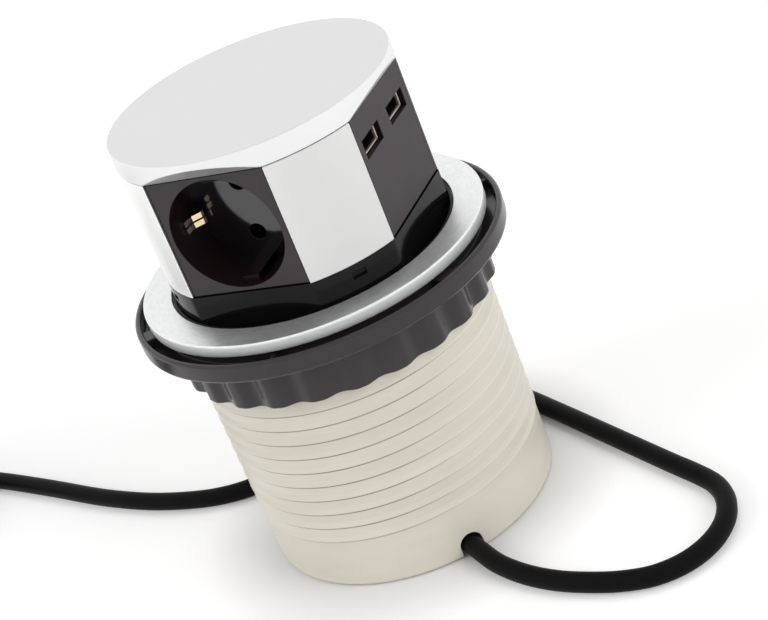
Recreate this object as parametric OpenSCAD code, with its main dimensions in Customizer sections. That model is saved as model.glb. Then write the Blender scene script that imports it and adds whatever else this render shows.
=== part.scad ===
// Pop up desk socket: a round power head rises out of a threaded barrel
// that a nut clamps in a hole of a desk top. Sizes in millimetres.
// Z runs up the barrel, the front socket faces -Y and the USB face +X.

/* [Head] */
// Diameter of the rising head and its cap
head_d = 99; // [96:0.5:106]
// Height of the cap above the trim ring when raised
head_rise = 60; // [54:0.5:64]
// Height of the cap rim above the socket faces
cap_t = 7.7; // [7:0.1:9]
// Height of the socket and USB faces
panel_h = 43.1; // [42.8:0.1:44.5]
// Depth of the four flats cut into the head
flat_depth = 5.25; // [4.6:0.05:5.6]
// Rise of the slanted facets above the faces
facet_rise = 5; // [4:0.1:6.6]
// Set back of the black faces behind the flats
face_inset = 0.5; // [0.2:0.1:1]
// Thickness of the curved side panels
side_panel_t = 2; // [1.6:0.1:2.4]
// Seam between a side panel and the cap
panel_seam = 0.2; // [0.1:0.05:0.3]
// Wall of the corner walls behind the side panels
corner_wall_t = 1.8; // [1.4:0.1:2]
// Wall of the black skirt
skirt_wall = 3; // [2.4:0.1:3.4]
// Thickness of the carrier floor under the modules
carrier_t = 3.5; // [3:0.1:4.5]
// Height of the inner lip at the skirt foot
skirt_lip_t = 1.5; // [1.2:0.1:2]
// Width of the inner lip at the skirt foot
skirt_lip_w = 1.2; // [1:0.1:1.4]
// Height of the round collar at the skirt foot
collar_h = 16; // [12:0.5:18]
// Width of the small notches under the side panels
skirt_notch_w = 5; // [3:0.5:8]
// Height of the small notches under the side panels
skirt_notch_h = 2.4; // [1.5:0.1:4]
// Depth of the small notches under the side panels
skirt_notch_t = 1.2; // [0.6:0.1:1.6]
// Depth of the hollow under the cap
cap_hollow_h = 3.5; // [2:0.1:4]
// Width of the rim left round the hollow under the cap
cap_hollow_rim = 9.5; // [8:0.5:14]

/* [Sockets] */
// Radius of the socket recess
recess_r = 19.75; // [19.5:0.05:20]
// Depth of the socket recess
recess_depth = 17; // [16:0.1:17.5]
// Thickness of the recess floor
recess_floor = 2; // [1.6:0.1:2.4]
// Distance between the two pin holes
pin_pitch = 19; // [18.5:0.1:19.5]
// Radius of a pin hole
pin_hole_r = 2.75; // [2.6:0.05:3]
// Width of the guide ribs at the top and the foot of the recess
guide_rib_w = 6; // [4:0.5:10]
// Height of the guide ribs
guide_rib_h = 2.2; // [1.5:0.1:2.6]
// Set back of the guide ribs from the face
guide_rib_back = 3; // [1:0.5:6]
// Distance of an earth clip from the middle of the recess
earth_clip_x = 18; // [17.6:0.05:18.2]
// Thickness of the earth clips
earth_clip_t = 0.8; // [0.6:0.1:1]
// Width of the earth clips
earth_clip_w = 4; // [3:0.1:5]
// Set back of the earth clips from the face
earth_clip_back = 3; // [2:0.5:6]
// Wall of a contact sleeve
sleeve_wall = 0.8; // [0.6:0.05:0.9]
// Widening of a contact sleeve past the pin hole
sleeve_ease = 0.35; // [0.3:0.05:0.5]
// End wall of a contact sleeve
sleeve_end_t = 1.1; // [0.8:0.1:1.3]
// Distance of the bus bar faces from the axis
bus_d = 6.2; // [5.8:0.1:6.6]
// Thickness of the bus bars
bus_t = 1; // [0.8:0.1:1.4]
// Height of the bus bars
bus_h = 6; // [5:0.1:6.4]
// Length of the earth bar arms past the axis
earth_bar_reach = 10; // [6:0.5:14]

/* [USB] */
// Width of a USB opening
usb_open_w = 14.2; // [13.9:0.1:14.8]
// Height of a USB opening
usb_open_h = 6.4; // [6.1:0.1:7]
// Distance between the two USB openings
usb_pitch = 22.4; // [20:0.1:23]
// Distance of the USB openings below the top of the face
usb_drop = 12.4; // [9:0.1:16]
// Wall of a USB shell
usb_shell_t = 0.5; // [0.4:0.05:0.7]
// Set back of a USB shell from the face
usb_shell_back = 1.8; // [0.3:0.1:3]
// Width of a USB tongue
usb_tongue_w = 11; // [10:0.1:11.4]
// Thickness of a USB tongue
usb_tongue_t = 1.6; // [1.4:0.1:2]
// Set back of a USB tongue from the face
usb_tongue_back = 3.6; // [2.5:0.1:5]
// Front wall of the USB module
usb_front_t = 4; // [3:0.1:6]
// Space beside the USB openings inside the module
usb_side_gap = 0.6; // [0.3:0.1:2]
// Top and bottom wall of the USB module
usb_side_t = 3; // [2:0.1:4]
// Thickness of the circuit board
usb_board_t = 1.6; // [1.2:0.1:2]
// Side of the square circuit board
usb_board_w = 40; // [39:0.5:42]
// Width of the transformer
transformer_w = 16; // [10:0.5:18]
// Height of the transformer
transformer_h = 12; // [8:0.5:14]
// Depth of the transformer
transformer_t = 9; // [6:0.5:10]
// Radius of the capacitor
capacitor_r = 4; // [3:0.1:4.5]
// Length of the capacitor
capacitor_l = 12; // [8:0.5:13]

/* [Barrel] */
// Height of the barrel up to the underside of the trim ring
barrel_h = 103.4; // [100:0.2:112]
// Wall of the barrel
barrel_wall = 2.5; // [2:0.1:3]
// Gap between head and barrel
head_gap = 0.6; // [0.5:0.05:0.9]
// Chamfer at the foot of the barrel
barrel_chamfer = 1.4; // [0.8:0.1:1.8]
// Thickness of the flange under the trim ring
flange_t = 2.5; // [2:0.1:2.8]
// Thickness of the inner ledge above the base plate
ledge_t = 2.8; // [2.6:0.1:3.4]
// Width of the inner ledge
ledge_w = 5.6; // [5.2:0.1:5.8]
// Height of the recess under the base plate
base_z = 13; // [12:0.5:14]
// Thickness of the base plate
base_t = 3; // [2.5:0.1:4]
// Width of the arched cord notch in the foot
notch_w = 8.6; // [8:0.1:10]
// Height of the arched cord notch in the foot
notch_h = 8.2; // [7.8:0.1:9]

/* [Trim ring] */
// Step from the barrel bore to the bore of the trim ring
ring_step = 0.96; // [0.9:0.02:1.4]
// Width of the trim ring
ring_w = 10.5; // [9:0.1:13]
// Thickness of the trim ring
ring_t = 4.25; // [4:0.05:5]
// Thickness of the outer skirt of the trim ring
ring_skirt_t = 1.8; // [1.4:0.1:2.4]
// Edge break of the trim ring
ring_edge = 0.8; // [0.4:0.1:1.2]
// Height of the wiper ring
wiper_h = 1.2; // [0.8:0.1:1.3]
// Gap between wiper ring and head
wiper_gap = 0.4; // [0.35:0.05:0.45]

/* [Clamp] */
// Gap between barrel and nut bore, where the thread runs
nut_gap = 0.7; // [0.65:0.05:0.9]
// Wall of the nut at its lobes
nut_wall = 3.6; // [3.2:0.1:4.4]
// Height of the lobed nut
nut_h = 17.2; // [14:0.2:20]
// Number of lobes round the nut
nut_lobes = 24; // [18:1:26]
// Radius of the grooves between the lobes
nut_groove_r = 2.56; // [2.2:0.02:2.8]
// Depth of the grooves between the lobes
nut_groove_t = 2; // [1.4:0.1:2.2]
// Gap between nut and clamp ring
nut_face_gap = 0.2; // [0.1:0.05:0.4]
// Overhang of the clamp ring past the trim ring
clamp_over = 5.1; // [4:0.1:7]
// Height of the clamp ring
clamp_h = 6.8; // [6:0.1:8]
// Gap between clamp ring and flange
clamp_face_gap = 0.2; // [0.1:0.05:0.4]
// Floor thickness of the clamp ring
clamp_floor = 2; // [1.6:0.1:2.6]
// Width of the clamp ring rim
clamp_rim = 2.2; // [1.8:0.1:3]
// Width of the clamp ring hub
clamp_hub = 4.6; // [4:0.1:5.4]
// Width of the three thin webs
web_thin = 1.4; // [1:0.1:2.4]
// Width of the three wide webs
web_wide = 7.5; // [5:0.1:9]
// Step of the webs below the rim
web_drop = 1.2; // [0.6:0.1:2]
// Turn of the first web from the front
web_turn = 8.2; // [0:0.2:20]

/* [Lift] */
// Over push past flush that trips the latch
over_push = 2.2; // [1.5:0.1:2.5]
// Clearance under the skirt at full travel
foot_clear = 0.5; // [0.4:0.1:1]
// Thickness of the guide plate
guide_t = 3; // [2.5:0.1:3.5]
// Radius of the opening in the guide plate
guide_open_r = 31; // [30:0.2:32]
// Gap between the stop washers and the corner walls
rod_gap = 1.8; // [1.4:0.1:2]
// Radius of the guide rods
rod_r = 3; // [2.6:0.1:3.2]
// Running gap between rod and bush
bush_gap = 0.3; // [0.25:0.05:0.4]
// Wall of a guide bush
bush_wall = 1.3; // [1:0.1:1.4]
// Thickness of a bush flange
bush_flange_t = 1.2; // [0.9:0.1:1.3]
// Overhang of a bush flange
bush_flange_w = 1; // [0.8:0.1:1]
// Gap under the stop washers when raised
stop_gap = 0.2; // [0.1:0.05:0.3]
// Radius of the stop washers
washer_r = 4.6; // [4.4:0.1:4.8]
// Thickness of the stop washers
washer_t = 1.5; // [1:0.1:2]
// Radius of the rod screw heads
rod_screw_r = 3.2; // [2.8:0.1:3.6]
// Height of the rod screw heads
rod_screw_h = 2.8; // [2:0.1:3]
// Shank radius of the screws
shank_r = 1.5; // [1.3:0.05:1.6]
// Shank length of the rod screws in the rod
rod_screw_l = 8; // [6:0.5:10]
// Side of the square latch body
latch_w = 11; // [10:0.2:11.4]
// Height of the latch body
latch_h = 26; // [22:0.5:28]
// Radius of the latch striker
striker_r = 2; // [1.6:0.1:2.2]
// Length of the latch striker
striker_l = 11.5; // [9.5:0.5:13]
// Gap round the latch striker in its hole
striker_gap = 0.6; // [0.4:0.1:0.8]
// Depth of the striker hole in the latch
latch_hole = 9; // [8:0.5:12]
// Gap round the latch in the guide plate
latch_gap = 0.8; // [0.6:0.1:1]
// Mean radius of the lift spring
spring_r = 9; // [8.6:0.1:10]
// Wire radius of the lift spring
spring_wire_r = 0.9; // [0.7:0.05:1]
// Turns of the lift spring
spring_turns = 11; // [9:1:13]
// Radius of the spring seats
spring_seat_r = 7; // [6:0.1:7.4]
// Height of the spring seats
spring_seat_h = 3; // [2:0.1:4]
// Radius of the inner lead
lead_r = 2.5; // [2:0.1:2.6]
// Winding radius of the inner lead
lead_coil_r = 26; // [25:0.2:26.4]
// Slope of the inner lead in its turns
lead_slope = 6; // [5.5:0.1:8]
// Bend radius at the ends of the inner lead
lead_bend_r = 20; // [18:0.5:22]
// Straight run at the ends of the inner lead
lead_straight = 5; // [4:0.5:7]
// Length of the terminal block
terminal_l = 20; // [16:0.5:21]
// Width of the terminal block
terminal_w = 14; // [12:0.5:16]
// Gap between the terminal block and the contacts above it
terminal_gap = 0.45; // [0.3:0.05:1.5]
// Radius of the wire holes in the terminal block
terminal_hole_r = 1.5; // [1.2:0.1:1.8]
// Distance between the wire holes
terminal_pitch = 6; // [5.5:0.1:6.5]
// Head radius of the base screws
base_screw_r = 2.6; // [2.2:0.1:2.7]
// Head height of the base screws
base_screw_h = 2; // [1.5:0.1:2.5]
// Length of the base screws in the ledge
base_screw_l = 2.2; // [1.8:0.1:2.3]

/* [Cord] */
// Diameter of the cord
cord_d = 7; // [6:0.1:7.2]
// Width of the gland body
gland_w = 16; // [12:0.5:20]
// Reach of the gland body behind the axis
gland_back = 32; // [28:0.5:34]
// Reach of the gland body in front of the axis
gland_front = 14; // [8:0.5:18]
// Clearance of the gland body above the desk
gland_lift = 1.5; // [1:0.1:3]
// Radius of the relief at its root
relief_root_r = 6; // [5:0.1:7]
// Radius of the relief at its tip
relief_tip_r = 4.2; // [3.9:0.1:4.6]
// Radius of the first loop of the coil
coil_r = 45; // [44:0.5:47]
// Pitch of the coil loops and layers
coil_pitch = 7.6; // [7.6:0.05:8]
// Turns of the coil
coil_turns = 4; // [4:4:4]
// Width of the tie
tie_w = 10; // [8:0.5:12]
// Thickness of the tie
tie_t = 1; // [0.8:0.1:1.1]
// Radius of the plug
plug_r = 18.4; // [17:0.1:18.5]
// Length of the plug rim
plug_rim_l = 17; // [14:0.5:20]
// Length of the tapered plug back
plug_back_l = 21; // [18:0.5:24]
// Length of the plug relief
plug_relief_l = 22; // [20:0.5:30]
// Radius of a plug pin
plug_pin_r = 2.4; // [2.3:0.05:2.4]
// Length of a plug pin
plug_pin_l = 19; // [18.5:0.1:19.5]
// Width of a plug earth strip
plug_earth_w = 5; // [4:0.1:6]
// Length of the earth strips of the plug
plug_earth_l = 14; // [10:0.5:16]
// Thickness of a plug earth strip
plug_earth_t = 0.8; // [0.6:0.1:1]

/* [Hidden] */
$fn = 64;
eps = 0.01;
fit_gap = 0.3;
head_r = head_d / 2;
flat_d = head_r - flat_depth;
face_d = flat_d - face_inset;
flat_w = 2 * sqrt(head_r * head_r - flat_d * flat_d);
module_w = flat_w - 2 * fit_gap;
module_depth = recess_depth + recess_floor;
module_back = face_d - module_depth;
usb_hollow_w = usb_pitch + usb_open_w + 2 * usb_side_gap;
barrel_in_r = head_r + head_gap;
barrel_out_r = barrel_in_r + barrel_wall;
ring_bore_r = barrel_in_r + ring_step;
ring_out_r = ring_bore_r + ring_w;
flange_out_r = ring_out_r - ring_skirt_t - fit_gap;
flange_top = barrel_h + flange_t;
ring_top = barrel_h + ring_t;
cap_top = ring_top + head_rise;
panel_top = cap_top - cap_t;
panel_bot = panel_top - panel_h;
panel_mid = (panel_top + panel_bot) / 2;
carrier_bot = panel_bot - carrier_t;
base_top = base_z + base_t;
ledge_top = base_top + ledge_t;
ledge_in_r = barrel_in_r - ledge_w;
screw_ring_r = barrel_in_r - ledge_w / 2;
travel = head_rise + over_push;
skirt_bot = ledge_top + travel + foot_clear;
skirt_in_r = head_r - skirt_wall;
skirt_lip_r = skirt_in_r - skirt_lip_w;
guide_bot = skirt_bot + skirt_lip_t;
collar_top = skirt_bot + collar_h;
flat_in_d = flat_d - skirt_wall;
guide_top = guide_bot + guide_t;
guide_r = skirt_in_r - fit_gap;
side_panel_r = head_r - side_panel_t;
corner_out_r = side_panel_r - fit_gap;
corner_in_r = corner_out_r - corner_wall_t;
corner_edge = flat_w / 2;
rod_d = corner_in_r - washer_r - rod_gap;
rod_x = rod_d / sqrt(2);
rod_top = guide_top + stop_gap;
bush_bore_r = rod_r + bush_gap;
bush_r = bush_bore_r + bush_wall;
shank_hole_r = shank_r + fit_gap;
base_shank_r = shank_r - 0.1;
base_hole_r = base_shank_r + fit_gap;
nut_bore_r = barrel_out_r + nut_gap;
nut_lobe_r = nut_bore_r + nut_wall;
clamp_out_r = ring_out_r + clamp_over;
clamp_top = barrel_h - clamp_face_gap;
clamp_bot = clamp_top - clamp_h;
nut_top = clamp_bot - nut_face_gap;
nut_bot = nut_top - nut_h;
cord_r = cord_d / 2;
exit_z = cord_r + 0.1;
exit_d = norm([31.1, 31.1]);
coil_z = cord_r + tie_t - 0.1;
plug_z = plug_r + 0.1;
earth_z = earth_clip_w / 2;
latch_d = sqrt(pow(ledge_in_r - fit_gap, 2) - pow(latch_w / 2, 2)) - latch_w / 2;
bus_ring = 2 * bus_d;
sleeve_bore_r = pin_hole_r + sleeve_ease;
sleeve_r = sleeve_bore_r + sleeve_wall;
contact_reach = max(sleeve_r, bus_h / 2);
terminal_h = panel_h / 2 - pin_pitch / 2 - contact_reach - terminal_gap;

lay_y = 27;

// Floor route of the free cord from the barrel foot to the coil
route = [
  [31.1, -31.1, exit_z],
  [36, -36, exit_z],
  [42, -41.5, exit_z],
  [51, -48.6, cord_r],
  [62.5, -54.6, cord_r],
  [74.5, -58.4, cord_r],
  [86, -60, cord_r],
  [97.5, -60.2, cord_r],
  [108.4, -58, cord_r],
  [117.6, -51.9, cord_r],
  [123.7, -42.7, cord_r],
  [125.9, -31.8, cord_r],
  [123.9, -21.2, cord_r],
  [118.6, -12.6, cord_r],
  [110.8, -6.2, cord_r],
  [101.5, 0.1, cord_r],
  [91, 7.4, cord_r],
  [79, 15.8, cord_r],
  [67, 24.2, cord_r],
  [55, 32.6, cord_r],
  [44, 40.2, cord_r],
  [34, 47, cord_r],
  [23, 53.3, cord_r],
  [11.5, 57.1, cord_r],
  [-1, 58.3, cord_r],
  [-13.5, 56.8, cord_r],
  [-25.6, 52.6, cord_r],
  [-36.9, 45.6, cord_r],
  [-46.5, 36.3, cord_r],
  [-53.7, 26.2, cord_r],
  [-60.5, 15.4, cord_r],
  [-69.5, 6.2, cord_r],
  [-81.5, 1.4, cord_r],
  [-96, -0.1, cord_r],
  [-116, 1, cord_r],
  [-141, 6, cord_r],
  [-171, 14.8, cord_r],
  [-204, 23.5, cord_r + 0.1],
  [-226, 26.5, cord_r + 0.5],
  [-241, lay_y, coil_z],
  [-248, lay_y, coil_z]
];
coil_x = -255;
coil_y = lay_y - coil_r;
coil_end_z = coil_z + coil_pitch;
tail_x = [-262, -270, -280, -290, -300, -307];
tail_rise = [0, 0.05, 0.35, 0.75, 1, 1];

// Helpers for swept tubes
function unit(v) = v / norm(v);
function along(p, i) = unit(p[min(i + 1, len(p) - 1)] - p[max(i - 1, 0)]);
function tube_ring(p, i, r, n, ref) =
  let (t = along(p, i), a = unit(cross(t, ref)), b = cross(a, t))
  [for (k = [0 : n - 1]) p[i] + r * (cos(360 * k / n) * a + sin(360 * k / n) * b)];
function tube_points(p, r, n, refs) =
  [for (i = [0 : len(p) - 1]) each tube_ring(p, i, r, n, refs[i])];
function tube_walls(m, n) =
  [for (i = [0 : m - 2]) for (k = [0 : n - 1]) let (j = (k + 1) % n)
    each [[i * n + k, i * n + j, (i + 1) * n + j], [i * n + k, (i + 1) * n + j, (i + 1) * n + k]]];
function tube_caps(m, n) =
  [[for (k = [n - 1 : -1 : 0]) k], [for (k = [0 : n - 1]) (m - 1) * n + k]];

module swept_tube(p, r, n, refs) {
  polyhedron(tube_points(p, r, n, refs), concat(tube_walls(len(p), n), tube_caps(len(p), n)));
}

// A smooth curve through the route, two steps for each stretch, straight at both ends
function bend_at(a, b, c, d, t) =
  0.5 * (2 * b + (c - a) * t + (2 * a - 5 * b + 4 * c - d) * t * t + (3 * b - a - 3 * c + d) * t * t * t);
function smooth(p) =
  let (m = len(p) - 1)
  concat(
    [p[0]],
    [for (i = [1 : m - 2]) for (s = [0, 1]) bend_at(p[i - 1], p[i], p[i + 1], p[i + 2], s / 2)],
    [p[m - 1], p[m]]);
function upright(p) = [for (q = p) [0, 0, 1]];
function outward(p) = [for (q = p) unit([q[0], q[1], 0])];
function path_sum(p, i) = i == 0 ? 0 : norm(p[i] - p[i - 1]) + path_sum(p, i - 1);
function path_length(p) = path_sum(p, len(p) - 1);

// Coil of the spare cord: loops wind in on the lower layer and out on the upper
coil_steps = 24 * coil_turns;
function coil_radius(u) = coil_r - coil_pitch * min(u, coil_turns - u);
function coil_lift(u) = coil_z + coil_pitch * min(1, max(0, 2 * (u - coil_turns / 2) + 0.5));
function coil_at(u) =
  [coil_x - coil_radius(u) * sin(360 * u), coil_y + coil_radius(u) * cos(360 * u), coil_lift(u)];
coil_loops = [for (i = [0 : coil_steps]) coil_at(i / 24)];
coil_tail = [for (i = [0 : len(tail_x) - 1])
  [tail_x[i], lay_y, coil_end_z + (plug_z - coil_end_z) * tail_rise[i]]];
coil_path = concat([[-248, lay_y, coil_z]], coil_loops, coil_tail);
coil_gap = min([for (i = [0 : coil_steps - 12]) for (j = [i + 12 : coil_steps])
  norm(coil_loops[i] - coil_loops[j])]) - cord_d;
free_path = smooth(route);
echo(coil_self_gap = coil_gap, cord_length = path_length(free_path) + path_length(coil_path));

// Turn about the axis from the front face to a face, and to the cord exit
module on_face(turn) {
  rotate([0, 0, turn]) children();
}

module to_exit() {
  rotate([0, 0, -45]) children();
}

// Prism along a flat, drawn as depth and height
module flat_prism(profile) {
  translate([-head_r, 0, 0]) rotate([90, 0, 90]) linear_extrude(2 * head_r) polygon(profile);
}

module corner_sector(r_in, r_out, z0, z1, edge, turn) {
  rotate([0, 0, turn]) intersection() {
    difference() {
      translate([0, 0, z0]) cylinder(r = r_out, h = z1 - z0);
      translate([0, 0, z0 - 1]) cylinder(r = r_in, h = z1 - z0 + 2);
    }
    translate([edge, edge, z0 - 1]) cube([head_r, head_r, z1 - z0 + 2]);
  }
}

module barrel() {
  color("ivory") difference() {
    union() {
      rotate_extrude() polygon([
        [ledge_in_r, base_top], [barrel_in_r, base_top], [barrel_in_r, 0],
        [barrel_out_r - barrel_chamfer, 0], [barrel_out_r, barrel_chamfer],
        [barrel_out_r, barrel_h], [flange_out_r, barrel_h], [flange_out_r, flange_top],
        [barrel_in_r, flange_top], [barrel_in_r, ledge_top], [ledge_in_r, ledge_top]]);
    }
    for (a = [0 : 90 : 270]) rotate([0, 0, a])
      translate([screw_ring_r, 0, base_top - 1]) cylinder(r = base_hole_r, h = base_screw_l + 1.2);
    to_exit() translate([barrel_in_r - 3, 0, notch_h - notch_w / 2]) {
      rotate([0, 90, 0]) cylinder(r = notch_w / 2, h = barrel_wall + 6);
      translate([0, -notch_w / 2, -notch_h]) cube([barrel_wall + 6, notch_w, notch_h]);
    }
  }
}

module trim_ring() {
  color("silver") rotate_extrude() polygon([
    [ring_bore_r, flange_top], [ring_bore_r, ring_top - ring_edge / 2],
    [ring_bore_r + ring_edge / 2, ring_top], [ring_out_r - ring_edge, ring_top],
    [ring_out_r, ring_top - ring_edge], [ring_out_r, barrel_h],
    [ring_out_r - ring_skirt_t, barrel_h], [ring_out_r - ring_skirt_t, flange_top]]);
}

module wiper_ring() {
  color("black") difference() {
    translate([0, 0, flange_top]) cylinder(r = ring_bore_r - fit_gap, h = wiper_h);
    translate([0, 0, flange_top - 1]) cylinder(r = head_r + wiper_gap, h = wiper_h + 2);
  }
}

module base_plate() {
  color("ivory") difference() {
    union() {
      translate([0, 0, base_z]) cylinder(r = barrel_in_r - fit_gap, h = base_t);
      translate([0, 0, base_z]) cylinder(r = spring_seat_r, h = base_t + spring_seat_h);
    }
    for (a = [0 : 90 : 270]) rotate([0, 0, a])
      translate([screw_ring_r, 0, base_z - 1]) cylinder(r = base_hole_r, h = base_t + 2);
  }
}

module base_screws() {
  color("silver") for (a = [0 : 90 : 270]) rotate([0, 0, a]) translate([screw_ring_r - 0.1, 0, 0]) {
    translate([0, 0, base_z - base_screw_h]) cylinder(r = base_screw_r, h = base_screw_h);
    translate([0.1, 0, base_z - 0.5]) cylinder(r = base_shank_r, h = base_t + base_screw_l + 0.5);
  }
}

module gland_body() {
  color("dimgray") to_exit() translate([-gland_back, -gland_w / 2, gland_lift])
    cube([gland_back + gland_front, gland_w, base_z - gland_lift]);
}

module cord_relief() {
  color("black") to_exit() intersection() {
    translate([gland_front, 0, exit_z]) rotate([0, 90, 0])
      cylinder(r1 = relief_root_r, r2 = relief_tip_r, h = exit_d - gland_front);
    translate([gland_front, -2 * relief_root_r, 0.1])
      cube([exit_d - gland_front, 4 * relief_root_r, 4 * relief_root_r]);
  }
}

module at_rods() {
  for (s = [-1, 1]) translate([s * rod_x, s * rod_x, 0]) children();
}

module guide_rods() {
  color("lightsteelblue") at_rods() difference() {
    translate([0, 0, base_top]) cylinder(r = rod_r, h = rod_top - base_top);
    translate([0, 0, rod_top - rod_screw_l - 1]) cylinder(r = shank_hole_r, h = rod_screw_l + 2);
  }
}

module stop_washers() {
  color("silver") at_rods() difference() {
    translate([0, 0, rod_top]) cylinder(r = washer_r, h = washer_t);
    translate([0, 0, rod_top - 1]) cylinder(r = shank_hole_r, h = washer_t + 2);
  }
}

module rod_screws() {
  color("silver") at_rods() {
    translate([0, 0, rod_top + washer_t]) cylinder(r = rod_screw_r, h = rod_screw_h);
    translate([0, 0, rod_top - rod_screw_l]) cylinder(r = shank_r, h = rod_screw_l + washer_t + 0.5);
  }
}

module latch_body() {
  color("dimgray") to_exit() translate([-latch_d, 0, base_top]) difference() {
    translate([-latch_w / 2, -latch_w / 2, 0]) cube([latch_w, latch_w, latch_h]);
    translate([0, 0, latch_h - latch_hole]) cylinder(r = striker_r + striker_gap, h = latch_hole + 1);
  }
}

// Lift spring with closed ends between the base plate and the carrier floor
spring_close = 2 * spring_wire_r + 0.4;
spring_h = carrier_bot - base_top - 2 * spring_wire_r;
function spring_z(u) =
  u < 1 ? spring_close * u
  : u > spring_turns - 1 ? spring_h - spring_close * (spring_turns - u)
  : spring_close + (spring_h - 2 * spring_close) * (u - 1) / (spring_turns - 2);
spring_path = [for (i = [0 : 18 * spring_turns]) let (u = i / 18)
  [spring_r * cos(360 * u), spring_r * sin(360 * u), base_top + spring_wire_r + spring_z(u)]];

module lift_spring() {
  color("silver") swept_tube(spring_path, spring_wire_r, 6, outward(spring_path));
}

// Inner lead: upright ends, a bend at each end and turns between, on a cylinder
lead_h = carrier_bot - base_top;
lead_mid_h = lead_h - 2 * lead_straight - 2 * lead_bend_r * cos(lead_slope);
lead_mid_s = lead_mid_h / tan(lead_slope);
lead_bend_s = lead_bend_r * (1 - sin(lead_slope));
lead_steps = ceil(lead_mid_s / (2 * PI * lead_coil_r) * 16);
lead_flat = concat(
  [[0, 0]],
  [for (k = [0 : 5]) let (b = (90 - lead_slope) * k / 5)
    [lead_bend_r * (1 - cos(b)), lead_straight + lead_bend_r * sin(b)]],
  [for (k = [1 : lead_steps - 1]) let (q = k / lead_steps)
    [lead_bend_s + q * lead_mid_s, lead_straight + lead_bend_r * cos(lead_slope) + q * lead_mid_h]],
  [for (k = [5 : -1 : 0]) let (b = (90 - lead_slope) * k / 5)
    [2 * lead_bend_s + lead_mid_s - lead_bend_r * (1 - cos(b)),
      lead_h - lead_straight - lead_bend_r * sin(b)]],
  [[2 * lead_bend_s + lead_mid_s, lead_h]]);
lead_path = [for (q = lead_flat) let (a = 135 + q[0] / lead_coil_r * 180 / PI)
  [lead_coil_r * cos(a), lead_coil_r * sin(a), base_top + q[1]]];

module inner_lead() {
  color("black") swept_tube(lead_path, lead_r, 8, outward(lead_path));
}

module head_skirt() {
  color("black") {
    difference() {
      translate([0, 0, skirt_bot]) cylinder(r = head_r, h = panel_bot - skirt_bot);
      translate([0, 0, guide_bot]) cylinder(r = skirt_in_r, h = collar_top - skirt_wall - guide_bot);
      intersection() {
        translate([0, 0, guide_bot]) cylinder(r = skirt_in_r, h = carrier_bot - guide_bot);
        translate([-flat_in_d, -flat_in_d, guide_bot]) cube([2 * flat_in_d, 2 * flat_in_d, carrier_bot - guide_bot]);
      }
      translate([0, 0, skirt_bot - 1]) cylinder(r = skirt_lip_r, h = skirt_lip_t + 2);
      for (a = [0 : 90 : 270]) on_face(a) flat_prism([
        [-flat_d, panel_bot + 1], [-flat_d, collar_top],
        [-flat_d - 2 * flat_depth, collar_top], [-flat_d - 2 * flat_depth, panel_bot + 1]]);
      at_rods() translate([0, 0, carrier_bot - 1]) cylinder(r = washer_r + 1.4, h = carrier_t + 2);
      for (a = [0 : 90 : 270]) rotate([0, 0, a + 45])
        translate([head_r - skirt_notch_t, -skirt_notch_w / 2, panel_bot - 2 * skirt_notch_h])
          cube([2 * skirt_notch_t, skirt_notch_w, skirt_notch_h]);
    }
    translate([0, 0, carrier_bot - spring_seat_h]) cylinder(r = spring_seat_r, h = spring_seat_h + eps);
    for (a = [0 : 90 : 270])
      corner_sector(corner_in_r, corner_out_r, panel_bot - eps, panel_top, corner_edge, a);
  }
}

module guide_plate() {
  color("dimgray") difference() {
    translate([0, 0, guide_bot]) cylinder(r = guide_r, h = guide_t);
    translate([0, 0, guide_bot - 1]) cylinder(r = guide_open_r, h = guide_t + 2);
    at_rods() translate([0, 0, guide_bot - 1]) cylinder(r = bush_r + fit_gap, h = guide_t + 2);
    to_exit() translate([-latch_d - latch_w / 2 - latch_gap, -latch_w / 2 - latch_gap, guide_bot - 1])
      cube([latch_w + 2 * latch_gap, latch_w + 2 * latch_gap, guide_t + 2]);
  }
}

module guide_bushes() {
  color("white") at_rods() difference() {
    union() {
      translate([0, 0, guide_bot - bush_flange_t]) cylinder(r = bush_r + bush_flange_w, h = bush_flange_t);
      translate([0, 0, guide_bot - bush_flange_t]) cylinder(r = bush_r, h = guide_t + bush_flange_t);
    }
    translate([0, 0, guide_bot - bush_flange_t - 1]) cylinder(r = bush_bore_r, h = guide_t + 4);
  }
}

module latch_striker() {
  color("silver") to_exit() translate([-latch_d, 0, carrier_bot - striker_l])
    cylinder(r = striker_r, h = striker_l);
}

module head_cap() {
  color("gainsboro") difference() {
    translate([0, 0, panel_top]) cylinder(r = head_r, h = cap_t);
    translate([0, 0, panel_top - 1]) cylinder(r = head_r - cap_hollow_rim, h = cap_hollow_h + 1);
    for (a = [0 : 90 : 270]) on_face(a) flat_prism([
      [-flat_d, panel_top], [-flat_d - 2 * flat_depth, panel_top + 2 * facet_rise],
      [-flat_d - 2 * flat_depth, panel_top - 1], [-flat_d, panel_top - 1]]);
  }
}

module side_panel(turn) {
  color("silver")
    corner_sector(side_panel_r, head_r, panel_bot, panel_top - panel_seam, corner_edge, turn);
}

module side_panel_a() {
  side_panel(-90);
}

module side_panel_b() {
  side_panel(0);
}

module side_panel_c() {
  side_panel(90);
}

module side_panel_d() {
  side_panel(180);
}

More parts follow.
